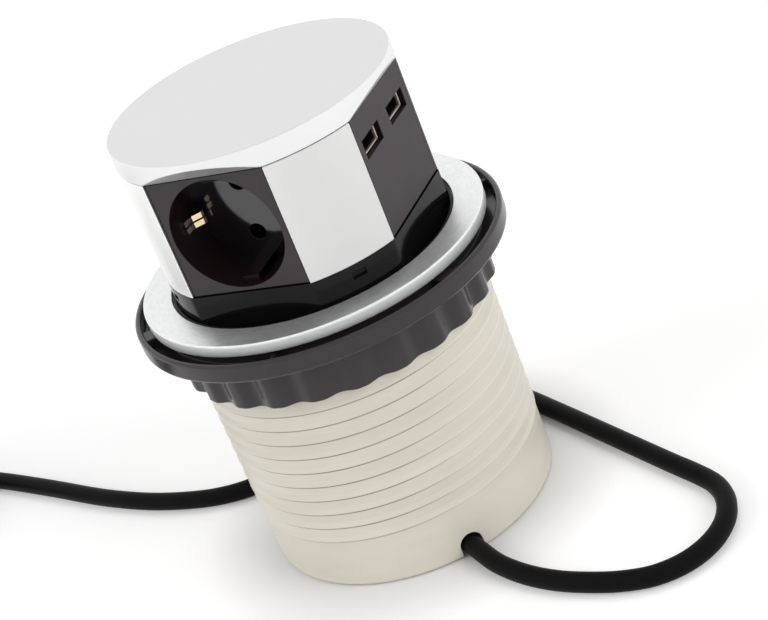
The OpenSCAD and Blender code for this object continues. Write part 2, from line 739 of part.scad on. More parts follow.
module socket(turn) {
  clip_slot_z = panel_mid - earth_z - 0.5;
  rib_d = recess_r - guide_rib_h / 2;
  color("#222222") on_face(turn) {
    difference() {
      translate([-module_w / 2, -face_d, panel_bot]) cube([module_w, module_depth, panel_h]);
      translate([0, -face_d + recess_depth, panel_mid]) rotate([90, 0, 0])
        cylinder(r = recess_r, h = recess_depth + 1);
      for (s = [-1, 1]) {
        translate([0, -module_back + 1, panel_mid + s * pin_pitch / 2]) rotate([90, 0, 0])
          cylinder(r = pin_hole_r, h = recess_floor + 2);
        translate([s * earth_clip_x - earth_clip_t, -module_back - recess_floor - 1, clip_slot_z])
          cube([2 * earth_clip_t, recess_floor + 2, earth_clip_w + 1]);
      }
    }
    for (s = [-1, 1])
      translate([-guide_rib_w / 2, -face_d + guide_rib_back, panel_mid + s * rib_d - guide_rib_h / 2])
        cube([guide_rib_w, recess_depth - guide_rib_back + eps, guide_rib_h]);
  }
}

module socket_front() {
  socket(0);
}

module socket_left() {
  socket(-90);
}

module socket_back() {
  socket(180);
}

module earth_clip(turn) {
  color("gold") on_face(turn) {
    for (s = [-1, 1])
      translate([s * earth_clip_x - earth_clip_t / 2, -face_d + earth_clip_back, panel_mid - earth_z])
        cube([earth_clip_t, module_depth - earth_clip_back + earth_clip_t, earth_clip_w]);
    translate([-earth_clip_x, -module_back, panel_mid - earth_z])
      cube([2 * earth_clip_x, earth_clip_t, earth_clip_w]);
  }
}

module earth_clip_front() {
  earth_clip(0);
}

module earth_clip_left() {
  earth_clip(-90);
}

module earth_clip_back() {
  earth_clip(180);
}

module contact_sleeves() {
  color("peru") for (a = [0, 180, 270]) on_face(a) for (s = [-1, 1])
    translate([0, -module_back, panel_mid + s * pin_pitch / 2]) rotate([-90, 0, 0]) difference() {
      cylinder(r = sleeve_r, h = module_back - bus_d);
      translate([0, 0, -1]) cylinder(r = sleeve_bore_r, h = module_back - bus_d - sleeve_end_t + 1);
    }
}

module bus_bar(level) {
  color("peru") translate([0, 0, level - bus_h / 2]) difference() {
    translate([-bus_d, -bus_d, 0]) cube([bus_ring, bus_ring, bus_h]);
    translate([-bus_d + bus_t, -bus_d + bus_t, -1])
      cube([bus_ring - 2 * bus_t, bus_ring - 2 * bus_t, bus_h + 2]);
  }
}

module bus_bar_line() {
  bus_bar(panel_mid + pin_pitch / 2);
}

module bus_bar_neutral() {
  bus_bar(panel_mid - pin_pitch / 2);
}

module earth_bar() {
  outer = module_back - earth_clip_t;
  color("gold") translate([0, 0, panel_mid - earth_z]) difference() {
    translate([-outer, -outer, 0]) cube([outer + earth_bar_reach, 2 * outer, earth_clip_w]);
    translate([-outer + earth_clip_t, -outer + earth_clip_t, -1])
      cube([2 * outer, 2 * outer - 2 * earth_clip_t, earth_clip_w + 2]);
  }
}

module terminal_block() {
  color("whitesmoke") translate([0, 0, panel_bot]) difference() {
    translate([-terminal_l / 2, -terminal_w / 2, 0]) cube([terminal_l, terminal_w, terminal_h]);
    for (s = [-1, 0, 1]) {
      translate([s * terminal_pitch, terminal_w / 2 + 1, terminal_h / 2]) rotate([90, 0, 0])
        cylinder(r = terminal_hole_r, h = terminal_w + 2);
      translate([s * terminal_pitch, 0, terminal_h / 2]) cylinder(r = terminal_hole_r, h = terminal_h);
    }
  }
}

module usb_place() {
  on_face(90) for (s = [-1, 1]) translate([s * usb_pitch / 2, 0, panel_top - usb_drop]) children();
}

module usb_module() {
  color("#222222") difference() {
    on_face(90) difference() {
      translate([-module_w / 2, -face_d, panel_bot]) cube([module_w, module_depth, panel_h]);
      translate([-usb_hollow_w / 2, -face_d + usb_front_t, panel_bot + usb_side_t])
        cube([usb_hollow_w, module_depth, panel_h - 2 * usb_side_t]);
    }
    usb_place() translate([-usb_open_w / 2, -face_d - 1, -usb_open_h / 2])
      cube([usb_open_w, usb_front_t + 2, usb_open_h]);
  }
}

module usb_shells() {
  shell_w = usb_open_w - 2 * fit_gap;
  shell_h = usb_open_h - 2 * fit_gap;
  shell_l = module_depth - usb_shell_back;
  color("silver") usb_place() difference() {
    translate([-shell_w / 2, -face_d + usb_shell_back, -shell_h / 2]) cube([shell_w, shell_l, shell_h]);
    translate([-shell_w / 2 + usb_shell_t, -face_d + usb_shell_back - 1, -shell_h / 2 + usb_shell_t])
      cube([shell_w - 2 * usb_shell_t, shell_l + 2, shell_h - 2 * usb_shell_t]);
  }
}

module usb_tongues() {
  color("black") usb_place()
    translate([-usb_tongue_w / 2, -face_d + usb_tongue_back, 0])
      cube([usb_tongue_w, module_depth - usb_tongue_back, usb_tongue_t]);
}

module usb_board() {
  color("darkgreen") on_face(90)
    translate([-usb_board_w / 2, -module_back, panel_mid - usb_board_w / 2])
      cube([usb_board_w, usb_board_t, usb_board_w]);
}

module usb_transformer() {
  color("gold") on_face(90)
    translate([-transformer_w / 2 - 8, -module_back + usb_board_t, panel_mid - transformer_h])
      cube([transformer_w, transformer_t, transformer_h]);
}

module usb_capacitor() {
  color("navy") on_face(90) translate([11, -module_back + usb_board_t, panel_mid - 9])
    rotate([-90, 0, 0]) cylinder(r = capacitor_r, h = capacitor_l);
}

module clamp_ring() {
  color("#333333") difference() {
    union() {
      translate([0, 0, clamp_bot]) cylinder(r = clamp_out_r, h = clamp_floor);
      translate([0, 0, clamp_bot]) cylinder(r = nut_bore_r + clamp_hub, h = clamp_h);
      difference() {
        translate([0, 0, clamp_bot]) cylinder(r = clamp_out_r, h = clamp_h);
        translate([0, 0, clamp_bot - 1]) cylinder(r = clamp_out_r - clamp_rim, h = clamp_h + 2);
      }
      for (k = [0 : 5]) let (w = k % 2 == 0 ? web_thin : web_wide) rotate([0, 0, web_turn + 60 * k])
        translate([-w / 2, -clamp_out_r + clamp_rim / 2, clamp_bot])
          cube([w, clamp_out_r - nut_bore_r - clamp_rim, clamp_h - web_drop]);
    }
    translate([0, 0, clamp_bot - 1]) cylinder(r = nut_bore_r, h = clamp_h + 2);
  }
}

module clamp_nut() {
  pitch = 360 / nut_lobes;
  color("#333333") difference() {
    translate([0, 0, nut_bot]) cylinder(r = nut_lobe_r, h = nut_h);
    translate([0, 0, nut_bot - 1]) cylinder(r = nut_bore_r, h = nut_h + 2);
    for (k = [0 : nut_lobes - 1]) rotate([0, 0, pitch * (k + 0.5)])
      translate([0, -nut_lobe_r + nut_groove_t - nut_groove_r, nut_bot - 1])
        cylinder(r = nut_groove_r, h = nut_h + 2);
  }
}

module cord_free() {
  color("black") swept_tube(free_path, cord_r, 10, upright(free_path));
}

module cord_coil() {
  color("black") swept_tube(coil_path, cord_r, 6, upright(coil_path));
}

module coil_tie() {
  r_in = coil_radius(1.5) - cord_r - 0.8;
  r_out = coil_radius(0.5) + cord_r + 0.2;
  z_low = coil_z - cord_r * sin(60) - 0.15;
  z_high = coil_end_z + cord_r * sin(60) + 0.15;
  color("black") difference() {
    translate([coil_x - tie_w / 2, coil_y - r_out - tie_t, z_low - tie_t])
      cube([tie_w, r_out - r_in + 2 * tie_t, z_high - z_low + 2 * tie_t]);
    translate([coil_x - tie_w / 2 - 1, coil_y - r_out, z_low])
      cube([tie_w + 2, r_out - r_in, z_high - z_low]);
  }
}

plug_x = tail_x[len(tail_x) - 1];
plug_face = plug_relief_l + plug_back_l + plug_rim_l;
plug_flat = plug_r - 1.8;

module on_plug() {
  translate([plug_x, lay_y, plug_z]) rotate([0, -90, 0]) children();
}

module plug_body() {
  color("black") on_plug() difference() {
    rotate_extrude() polygon([
      [0, 0], [relief_tip_r, 0], [relief_root_r + 0.5, plug_relief_l],
      [0.7 * plug_r, plug_relief_l + 4], [plug_r, plug_relief_l + plug_back_l],
      [plug_r, plug_face], [0, plug_face]]);
    for (s = [-1, 1])
      translate([s * (plug_flat + 2) - 2, -plug_earth_w / 2 - 0.5, plug_face - plug_earth_l - 1])
        cube([4, plug_earth_w + 1, plug_earth_l + 2]);
  }
}

module plug_pins() {
  color("silver") on_plug() for (s = [-1, 1]) translate([0, s * pin_pitch / 2, plug_face])
    cylinder(r = plug_pin_r, h = plug_pin_l);
}

module plug_earth() {
  color("silver") on_plug() for (s = [-1, 1])
    translate([s * (plug_flat + plug_earth_t / 2) - plug_earth_t / 2, -plug_earth_w / 2, plug_face - plug_earth_l - 0.5])
      cube([plug_earth_t, plug_earth_w, plug_earth_l]);
}

barrel();
trim_ring();
wiper_ring();
base_plate();
base_screws();
gland_body();
cord_relief();
guide_rods();
stop_washers();
rod_screws();
latch_body();
lift_spring();
inner_lead();
head_skirt();
guide_plate();
guide_bushes();
latch_striker();
head_cap();
side_panel_a();
side_panel_b();
side_panel_c();
side_panel_d();
socket_front();
socket_left();
socket_back();
earth_clip_front();
earth_clip_left();
earth_clip_back();
contact_sleeves();
bus_bar_line();
bus_bar_neutral();
earth_bar();
terminal_block();
usb_module();
usb_shells();
usb_tongues();
usb_board();
usb_transformer();
usb_capacitor();
clamp_ring();
clamp_nut();
cord_free();
cord_coil();
coil_tie();
plug_body();
plug_pins();
plug_earth();
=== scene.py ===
import math

import bmesh
import bpy
from mathutils import Matrix, Vector


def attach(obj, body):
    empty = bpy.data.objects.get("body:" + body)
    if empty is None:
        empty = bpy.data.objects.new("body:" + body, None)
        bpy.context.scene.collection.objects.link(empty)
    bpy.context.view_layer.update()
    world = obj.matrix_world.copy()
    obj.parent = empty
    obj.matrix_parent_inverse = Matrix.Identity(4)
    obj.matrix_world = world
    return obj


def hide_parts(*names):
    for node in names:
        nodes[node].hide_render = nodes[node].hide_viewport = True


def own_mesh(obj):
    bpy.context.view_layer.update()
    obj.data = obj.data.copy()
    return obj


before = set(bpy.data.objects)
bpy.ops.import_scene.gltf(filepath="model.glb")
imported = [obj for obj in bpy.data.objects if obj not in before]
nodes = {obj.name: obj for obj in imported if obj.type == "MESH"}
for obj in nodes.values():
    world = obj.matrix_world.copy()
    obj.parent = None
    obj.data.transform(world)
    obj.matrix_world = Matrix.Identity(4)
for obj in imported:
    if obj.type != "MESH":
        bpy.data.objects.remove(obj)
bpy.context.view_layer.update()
scene = bpy.context.scene
mm = 0.001


def spun(degrees, axis="Z"):
    return Matrix.Rotation(math.radians(degrees), 4, axis)


def shifted(x, y, z):
    return Matrix.Translation(Vector((x, y, z)) * mm)


# camera fitted to the cap, ring, nut and barrel edges in the photograph
view = dict(turn=31.18, elevation=26.87, roll=22.06, aim=107.65, right=24.95, up=-22.77, back=681.27,
            lens=93.75, sensor=36, nearest=0.01)


def placeCamera():
    data = bpy.data.cameras.new("deskView")
    data.lens = view["lens"]
    data.sensor_width = view["sensor"]
    data.sensor_fit = "HORIZONTAL"
    data.clip_start = view["nearest"]
    camera = bpy.data.objects.new("deskView", data)
    scene.collection.objects.link(camera)
    stand = spun(view["turn"]) @ spun(90 - view["elevation"], "X") @ spun(-view["roll"])
    spot = Vector((0, 0, view["aim"])) + stand @ Vector((view["right"], view["up"], view["back"]))
    camera.matrix_world = Matrix.Translation(spot * mm) @ stand
    scene.camera = camera


placeCamera()
print("camera placed")


# helpers for modelling
weld = dict(turned=0.000002, cut=0.000001, copied=0.000004)  # metres within which points become one
flatAngle = 0.6  # triangles of a copy within this many degrees become one face
straightHalf = 1.55  # half the angle of a corner that is too straight to round


def clearSelection():
    if bpy.context.object and bpy.context.object.mode != "OBJECT":
        bpy.ops.object.mode_set(mode="OBJECT")
    bpy.ops.object.select_all(action="DESELECT")


def pick(piece):
    clearSelection()
    bpy.context.view_layer.objects.active = piece
    piece.select_set(True)


def drawn(name, points, edges=(), faces=()):
    mesh = bpy.data.meshes.new(name)
    mesh.from_pydata([tuple(Vector(p) * mm) for p in points], list(edges), list(faces))
    piece = bpy.data.objects.new(name, mesh)
    scene.collection.objects.link(piece)
    pick(piece)
    return piece


def loopEdges(count, closed=True):
    return [(i, (i + 1) % count) for i in range(count if closed else count - 1)]


def openAll(kind=None):
    bpy.ops.object.mode_set(mode="EDIT")
    if kind:
        bpy.ops.mesh.select_mode(type=kind)
    bpy.ops.mesh.select_all(action="SELECT")


def pulled(x, y, z):
    bpy.ops.mesh.select_all(action="SELECT")
    bpy.ops.mesh.extrude_region_move(TRANSFORM_OT_translate={"value": (x * mm, y * mm, z * mm)})


def closeOutward(gap=0):
    bpy.ops.mesh.select_all(action="SELECT")
    if gap:
        bpy.ops.mesh.remove_doubles(threshold=gap)
    bpy.ops.mesh.normals_make_consistent(inside=False)
    bpy.ops.object.mode_set(mode="OBJECT")


def applied(piece, kind, **settings):
    pick(piece)
    modifier = piece.modifiers.new(kind.title(), kind)
    for key, value in settings.items():
        setattr(modifier, key, value)
    bpy.ops.object.modifier_apply(modifier=modifier.name)
    return piece


def block(size, place):
    clearSelection()
    bpy.ops.mesh.primitive_cube_add(size=1)
    piece = bpy.context.object
    piece.data.transform(shifted(*place) @ Matrix.Diagonal((*(Vector(size) * mm), 1)))
    return piece


def cutAway(piece, cutter):
    applied(piece, "BOOLEAN", object=cutter, operation="DIFFERENCE", solver="EXACT")
    bpy.data.objects.remove(cutter)


def joinInto(piece, others):
    pick(piece)
    for other in others:
        other.select_set(True)
    bpy.ops.object.join()
    return piece


# corners given as radius, height and rounding, turned into points with short arcs
def eased(corners, steps=5):
    points = []
    count = len(corners)
    for i, corner in enumerate(corners):
        here = Vector(corner[:2])
        rounding = corner[2] if len(corner) > 2 else 0
        before = (Vector(corners[i - 1][:2]) - here).normalized()
        after = (Vector(corners[(i + 1) % count][:2]) - here).normalized()
        half = before.angle(after) / 2
        if rounding == 0 or half > straightHalf:
            points.append(here)
            continue
        reach = rounding / math.tan(half)
        middle = here + (before + after).normalized() * (rounding / math.sin(half))
        first = here + before * reach - middle
        last = here + after * reach - middle
        swing = first.angle_signed(last)
        for k in range(steps + 1):
            points.append(middle + Matrix.Rotation(-swing * k / steps, 2) @ first)
    return points


def turnedPiece(name, corners, steps=192, arc=5, closed=True):
    outline = eased(corners, arc)
    piece = drawn(name, [(p.x, 0, p.y) for p in outline], loopEdges(len(outline), closed))
    openAll()
    bpy.ops.mesh.spin(steps=steps, angle=math.tau, center=(0, 0, 0), axis=(0, 0, 1))
    closeOutward(weld["turned"])
    return piece


def smoothed(piece, angle=35):
    pick(piece)
    bpy.ops.object.shade_smooth_by_angle(angle=math.radians(angle))
    return applied(piece, "WEIGHTED_NORMAL", mode="FACE_AREA_WITH_ANGLE", weight=50, keep_sharp=True)


def rounded(piece, width, segments=2, angle=30):
    applied(piece, "BEVEL", width=width * mm, segments=segments, limit_method="ANGLE",
            angle_limit=math.radians(angle), use_clamp_overlap=True, harden_normals=False)
    return smoothed(piece)


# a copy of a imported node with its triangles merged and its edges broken
def brokenEdges(node, width, segments=2, flatten=True):
    pick(nodes[node])
    bpy.ops.object.duplicate(linked=False)
    piece = bpy.context.object
    piece.name = node + "Finished"
    for key in list(piece.keys()):
        if key.startswith("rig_"):
            del piece[key]
    piece.parent = None
    piece.matrix_world = Matrix.Identity(4)
    piece.data.materials.clear()
    pick(piece)
    openAll()
    bpy.ops.mesh.remove_doubles(threshold=weld["copied"])
    if flatten:
        bpy.ops.mesh.dissolve_limited(angle_limit=math.radians(flatAngle))
    bpy.ops.object.mode_set(mode="OBJECT")
    if width:
        rounded(piece, width, segments)
    return piece


def settle(piece, body, slot, *replaced):
    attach(piece, body)
    if replaced:
        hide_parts(*replaced)
    return piece


# helpers for finishes
def wire(tree, socket, value):
    if isinstance(value, Field):
        tree.links.new(value.socket, socket)
    else:
        socket.default_value = value


class Field:
    def __init__(self, tree, socket):
        self.tree = tree
        self.socket = socket

    def calc(self, operation, other=0.0, swapped=False):
        node = self.tree.nodes.new("ShaderNodeMath")
        node.operation = operation
        first, second = (other, self) if swapped else (self, other)
        wire(self.tree, node.inputs[0], first)
        wire(self.tree, node.inputs[1], second)
        return Field(self.tree, node.outputs[0])

    def __add__(self, other):
        return self.calc("ADD", other)

    def __radd__(self, other):
        return self.calc("ADD", other, True)

    def __sub__(self, other):
        return self.calc("SUBTRACT", other)

    def __rsub__(self, other):
        return self.calc("SUBTRACT", other, True)

    def __mul__(self, other):
        return self.calc("MULTIPLY", other)

    def __rmul__(self, other):
        return self.calc("MULTIPLY", other, True)

    def __pow__(self, other):
        return self.calc("POWER", other)


class Graph:
    def __init__(self, tree):
        self.tree = tree

    def add(self, kind, settings=None, sockets=None, out=0):
        node = self.tree.nodes.new(kind)
        for key, value in (settings or {}).items():
            if key == "stops":
                ramp = node.color_ramp
                while len(ramp.elements) < len(value):
                    ramp.elements.new(0.5)
                for stop, (spot, tone) in zip(ramp.elements, value):
                    stop.position = spot
                    stop.color = (tone, tone, tone, 1)
            else:
                setattr(node, key, value)
        for key, value in (sockets or {}).items():
            wire(self.tree, node.inputs[key], value)
        return Field(self.tree, node.outputs[out])

    def parts(self, vector):
        return [self.add("ShaderNodeSeparateXYZ", sockets={"Vector": vector}, out=k) for k in range(3)]

    # one for rays that show the background: straight from the camera, mirrored or through glass
    def shownRays(self):
        camera, glossy, clear = [self.add("ShaderNodeLightPath", out=name + " Ray") for name in
                                 ("Is Camera", "Is Glossy", "Is Transmission")]
        return (camera + glossy + clear).calc("MINIMUM", 1.0)


class Finish(Graph):
    inputs = dict(color="Base Color", roughness="Roughness", metallic="Metallic", coat="Coat Weight",
                  coatRoughness="Coat Roughness", normal="Normal", specular="Specular IOR Level")

    def __init__(self, name, **constants):
        self.material = bpy.data.materials.new(name)
        self.material.use_nodes = True
        Graph.__init__(self, self.material.node_tree)
        self.shader = self.tree.nodes["Principled BSDF"]
        for key, value in constants.items():
            self.feed(key, value)
        self.place = self.add("ShaderNodeTexCoord", out="Object")

    def feed(self, key, value):
        if key == "color" and not isinstance(value, Field):
            value = (*value, 1)
        wire(self.tree, self.shader.inputs[self.inputs[key]], value)

    def stretched(self, scale, turn=(0, 0, 0)):
        return self.add("ShaderNodeMapping", sockets={"Vector": self.place, "Scale": scale, "Rotation": turn})

    def noise(self, scale, detail=3, roughness=0.55, vector=None):
        return self.add("ShaderNodeTexNoise", sockets={"Vector": vector or self.place, "Scale": scale,
                                                       "Detail": detail, "Roughness": roughness})

    def ramp(self, field, *stops):
        return self.add("ShaderNodeValToRGB", {"stops": stops}, {"Fac": field})

    def mix(self, factor, first, second):
        tones = [(*c, 1) if isinstance(c, tuple) else c for c in (first, second)]
        return self.add("ShaderNodeMix", {"data_type": "RGBA"}, {0: factor, 6: tones[0], 7: tones[1]}, 2)

    def bump(self, height, strength, distance):
        self.feed("normal", self.add("ShaderNodeBump", sockets={"Height": height, "Strength": strength,
                                                                "Distance": distance}))

    # radius, turn and height about the barrel axis, for concentric marks
    def polar(self):
        x, y, z = self.parts(self.place)
        return (x * x + y * y) ** 0.5, y.calc("ARCTAN2", x), z

    def joined(self, x, y, z):
        return self.add("ShaderNodeCombineXYZ", sockets={"X": x, "Y": y, "Z": z})


def wear(piece, *finishes):
    piece.data.materials.clear()
    for finish in finishes:
        piece.data.materials.append(finish.material)
    return piece


# a mottled tone, a mottled roughness and a fine grain
def plainFinish(name, tone, spread=0.12, rough=0.4, roughSpread=0.12, scale=40, grain=700, depth=0.1, **more):
    look = Finish(name, **more)
    low = tuple(c * (1 - spread) for c in tone)
    high = tuple(min(1, c * (1 + spread)) for c in tone)
    look.feed("color", look.mix(look.noise(scale), low, high))
    look.feed("roughness", look.noise(scale * 1.7) * roughSpread + (rough - roughSpread / 2))
    if depth:
        look.bump(look.noise(grain, detail=2), strength=depth, distance=0.00006)
    return look


# stage and light
stageLook = dict(size=12, sunk=-0.0002, tone=0.87, roughness=0.9,
                 # the glow is left out round the foot, which paints a contact shadow on the floor
                 glow=((0.053, 0.0), (0.082, 0.28), (0.45, 0.28), (1.0, 0.95)),  # radius in metres, glow there
                 sky=0.53, front=(0.62, -0.78), frontDim=0.22)
lampAim = (0, 0, 0.08)
lampSet = (
    ("leftPanel", (2.2, 2.0), (-2.3, -1.9, 1.6), 35),
    ("rightPanel", (1.8, 1.8), (2.6, -0.6, 1.5), 32),
    ("topPanel", (1.6, 1.6), (0.0, 0.8, 2.9), 14))


def softPanel(name, size, spot, power):
    data = bpy.data.lights.new(name, "AREA")
    data.shape = "RECTANGLE"
    data.size, data.size_y = size
    data.energy = power
    lamp = bpy.data.objects.new(name, data)
    scene.collection.objects.link(lamp)
    lamp.location = spot
    lamp.visible_glossy = False  # no lamp burns out in the satin metal from any side
    lamp.rotation_euler = (Vector(lampAim) - Vector(spot)).to_track_quat("-Z", "Y").to_euler()


def buildFloor():
    clearSelection()
    bpy.ops.mesh.primitive_plane_add(size=stageLook["size"], location=(0, 0, stageLook["sunk"]))
    floor = bpy.context.object
    floor.name = "paleFloor"
    look = Finish("paleFloorWhite", color=(stageLook["tone"],) * 3, roughness=stageLook["roughness"], specular=0.0)
    # white for the camera and in mirrors, fading out under the object so that its shadow stays; the fade round the
    # foot paints a contact shadow
    fade = look.ramp(look.polar()[0], *stageLook["glow"])
    glow = look.add("ShaderNodeEmission", sockets={"Color": look.shownRays() * fade, "Strength": 1.0})
    both = look.add("ShaderNodeAddShader", sockets={0: Field(look.tree, look.shader.outputs[0]), 1: glow})
    wire(look.tree, look.tree.nodes["Material Output"].inputs["Surface"], both)
    wear(floor, look)


def buildSky():
    scene.world = bpy.data.worlds.new("studioWhite")
    scene.world.use_nodes = True
    sky = Graph(scene.world.node_tree)
    x, y = sky.parts(sky.add("ShaderNodeTexCoord", out="Generated"))[:2]
    front = (x * stageLook["front"][0] + y * stageLook["front"][1]).calc("MAXIMUM")
    seen = sky.shownRays()
    mirrored = 1 - front * stageLook["frontDim"]  # dimmer towards the room behind the camera
    backdrop = sky.tree.nodes["Background"].inputs
    wire(sky.tree, backdrop["Strength"], seen * mirrored + (1 - seen) * stageLook["sky"])
    backdrop["Color"].default_value = (1, 1, 1, 1)


scene.view_settings.view_transform = "Standard"
buildFloor()
buildSky()
for lamp in lampSet:
    softPanel(*lamp)
print("stage and light ready")


# mains cord: route on the floor, a tied coil and a rise to the plug
cordLook = dict(diameter=7.0, sides=6, steps=4, coilTurns=4, coilSteps=48, coilRadius=45.0, coilPitch=7.6,
                coilCentre=(-255.0, -18.0), coilHeight=4.4, plugHeight=18.5,
                tail=((-262, 0), (-270, 0.05), (-280, 0.35), (-290, 0.75), (-300, 1), (-307, 1)),
                dark=(0.0035, 0.0034, 0.0038), pale=(0.007, 0.0068, 0.0074))
cordRoute = [
    (31.1, -31.1, 3.6), (36, -36, 3.6), (42, -41.5, 3.6), (51, -48.6, 3.5), (62.5, -54.6, 3.5),
    (74.5, -58.4, 3.5), (86, -60, 3.5), (97.5, -60.2, 3.5), (108.4, -58, 3.5), (117.6, -51.9, 3.5),
    (123.7, -42.7, 3.5), (125.9, -31.8, 3.5), (123.9, -21.2, 3.5), (118.6, -12.6, 3.5), (110.8, -6.2, 3.5),
    (101.5, 0.1, 3.5), (91, 7.4, 3.5), (79, 15.8, 3.5), (67, 24.2, 3.5), (55, 32.6, 3.5),
    (44, 40.2, 3.5), (34, 47, 3.5), (23, 53.3, 3.5), (11.5, 57.1, 3.5), (-1, 58.3, 3.5),
    (-13.5, 56.8, 3.5), (-25.6, 52.6, 3.5), (-36.9, 45.6, 3.5), (-46.5, 36.3, 3.5), (-53.7, 26.2, 3.5),
    (-60.5, 15.4, 3.5), (-69.5, 6.2, 3.5), (-81.5, 1.4, 3.5), (-96, -0.1, 3.5), (-116, 1, 3.5),
    (-141, 6, 3.5), (-171, 14.8, 3.5), (-204, 23.5, 3.6), (-226, 26.5, 4), (-241, 27, 4.4), (-248, 27, 4.4)]


def curveThrough(points, steps):
    points = [Vector(p) for p in points]
    path = [points[0]]
    for i in range(1, len(points) - 2):
        a, b, c, d = points[i - 1:i + 3]
        for k in range(steps):
            t = k / steps
            straight = 2 * b + (c - a) * t
            curved = (2 * a - 5 * b + 4 * c - d) * t ** 2 + (3 * b - a - 3 * c + d) * t ** 3
            path.append(0.5 * (straight + curved))
    return path + points[-2:]


def coilLoops():
    turns, pitch, low = cordLook["coilTurns"], cordLook["coilPitch"], cordLook["coilHeight"]
    x, y = cordLook["coilCentre"]
    loops = []
    for i in range(cordLook["coilSteps"] * turns + 1):
        u = i / cordLook["coilSteps"]
        radius = cordLook["coilRadius"] - pitch * min(u, turns - u)  # inwards, then out again
        climb = min(1, max(0, 2 * (u - turns / 2) + 0.5))  # on to the second layer half way
        around = math.tau * u
        loops.append(Vector((x - radius * math.sin(around), y + radius * math.cos(around), low + pitch * climb)))
    top = low + pitch
    rise = cordLook["plugHeight"] - top
    side = y + cordLook["coilRadius"]
    return loops + [Vector((along, side, top + rise * part)) for along, part in cordLook["tail"]]


def tubeCurve(name, path, diameter, sides):
    data = bpy.data.curves.new(name, "CURVE")
    data.dimensions = "3D"
    data.bevel_depth = diameter / 2 * mm
    data.bevel_resolution = sides
    data.use_fill_caps = True
    spline = data.splines.new("POLY")
    spline.points.add(len(path) - 1)
    for point, spot in zip(spline.points, path):
        point.co = (*(spot * mm), 1)
    spline.use_smooth = True
    piece = bpy.data.objects.new(name, data)
    scene.collection.objects.link(piece)
    return piece


def mixCord():
    look = Finish("cordBlack", specular=0.06)
    look.feed("roughness", look.noise(60, detail=2) * 0.16 + 0.36)
    look.feed("color", look.mix(look.noise(35, detail=2), cordLook["dark"], cordLook["pale"]))
    look.bump(look.noise(900, detail=2), strength=0.12, distance=0.00005)
    return look


cordPath = curveThrough(cordRoute, cordLook["steps"]) + coilLoops()
cordLength = sum((b - a).length for a, b in zip(cordPath, cordPath[1:])) * mm
cordBlack = mixCord()
mainsCord = tubeCurve("mainsCord", cordPath, cordLook["diameter"], cordLook["sides"])
settle(wear(mainsCord, cordBlack), "base", "cord_black", "cord_free", "cord_coil")
print("cord laid", round(cordLength, 3))


# mains plug on the far end, lying beside the coil
plugShape = dict(start=(-307, 27, 18.5), relief=22, back=43, face=60, tip=4.2, root=6.5, neck=12.9, outer=18.4,
                 shoulder=4, taper=1.6, taperLength=7, tipEdge=0.6, faceEdge=1.1, grooveEdge=0.15,
                 grooves=5, grooveFrom=3.4, groovePitch=3.5, grooveDepth=0.8,
                 grooveSteps=((0, 0), (0.35, 1), (1.35, 1), (1.7, 0)),  # place along the relief, share of the depth
                 flat=16.6, slot=(4, 6, 16), slotDrop=7,
                 pinRadius=2.4, pinLength=19, pinApart=9.5, pinSunk=1, pinEnd=1.3, earthEdge=0.25)
plugBlack = plainFinish("plugBlack", (0.0085, 0.0085, 0.009), rough=0.5, grain=1300, depth=0.2, specular=0.3)
pinNickel = plainFinish("pinNickel", (0.76, 0.74, 0.70), spread=0.05, rough=0.18, depth=0.04, metallic=1.0)


def layPlug(piece):
    piece.data.transform(shifted(*plugShape["start"]) @ spun(-90, "Y"))
    return piece


def buildPlug():
    g = plugShape
    slope = (g["root"] - g["tip"]) / g["relief"]
    corners = [(0, 0), (g["tip"], 0, g["tipEdge"])]
    for k in range(g["grooves"]):
        for step, cut in g["grooveSteps"]:
            along = g["grooveFrom"] + g["groovePitch"] * k + step
            corners.append((g["tip"] + slope * along - cut * g["grooveDepth"], along, g["grooveEdge"]))
    corners += [(g["root"], g["relief"], 1.5), (g["neck"], g["relief"] + g["shoulder"], 1.6),
                (g["outer"] - g["taper"], g["back"] - g["taperLength"], 3), (g["outer"], g["back"], 4),
                (g["outer"], g["face"], g["faceEdge"]), (0, g["face"])]
    body = turnedPiece("plugBody", corners, steps=96, arc=4, closed=False)
    for side in (-1, 1):  # room for the earth contacts
        cutAway(body, block(g["slot"], (side * (g["flat"] + g["slot"][0] / 2), 0, g["face"] - g["slotDrop"])))
    return smoothed(layPlug(body), angle=32)


def buildPins():
    g = plugShape
    low, high, radius = g["face"] - g["pinSunk"], g["face"] + g["pinLength"], g["pinRadius"]
    pins = []
    for side in (-1, 1):
        pin = turnedPiece("plugPins", [(0, low), (radius, low), (radius, high, g["pinEnd"]), (0, high)],
                          steps=40, arc=6, closed=False)
        pin.data.transform(shifted(0, side * g["pinApart"], 0))
        pins.append(pin)
    return smoothed(layPlug(joinInto(pins[0], pins[1:])), angle=40)


plugBody = settle(wear(buildPlug(), plugBlack), "base", "cord_black", "plug_body")
plugPins = settle(wear(buildPins(), pinNickel), "base", "nickel", "plug_pins")
plugEarth = brokenEdges("plug_earth", plugShape["earthEdge"], segments=3)
settle(wear(plugEarth, pinNickel), "base", "nickel", "plug_earth")


# woven strap round the coil
tieShape = dict(at=-255, wide=10, near=-63.4, far=-46.8, low=0.72, high=15.68, thick=1.0, rounding=2.4, edge=0.25,
                endNear=3, endFar=4, endLift=0.5, endThick=0.9, weave=2200,
                dark=(0.006, 0.006, 0.007), pale=(0.016, 0.016, 0.018))


def mixTie():
    look = Finish("tieWeave", roughness=0.85, specular=0.15)
    weave = look.add("ShaderNodeTexChecker", sockets={"Vector": look.place, "Scale": tieShape["weave"]}, out="Fac")
    look.feed("color", look.mix(weave * 0.6 + look.noise(500) * 0.4, tieShape["dark"], tieShape["pale"]))
    look.bump(weave, strength=0.35, distance=0.0001)
    return look


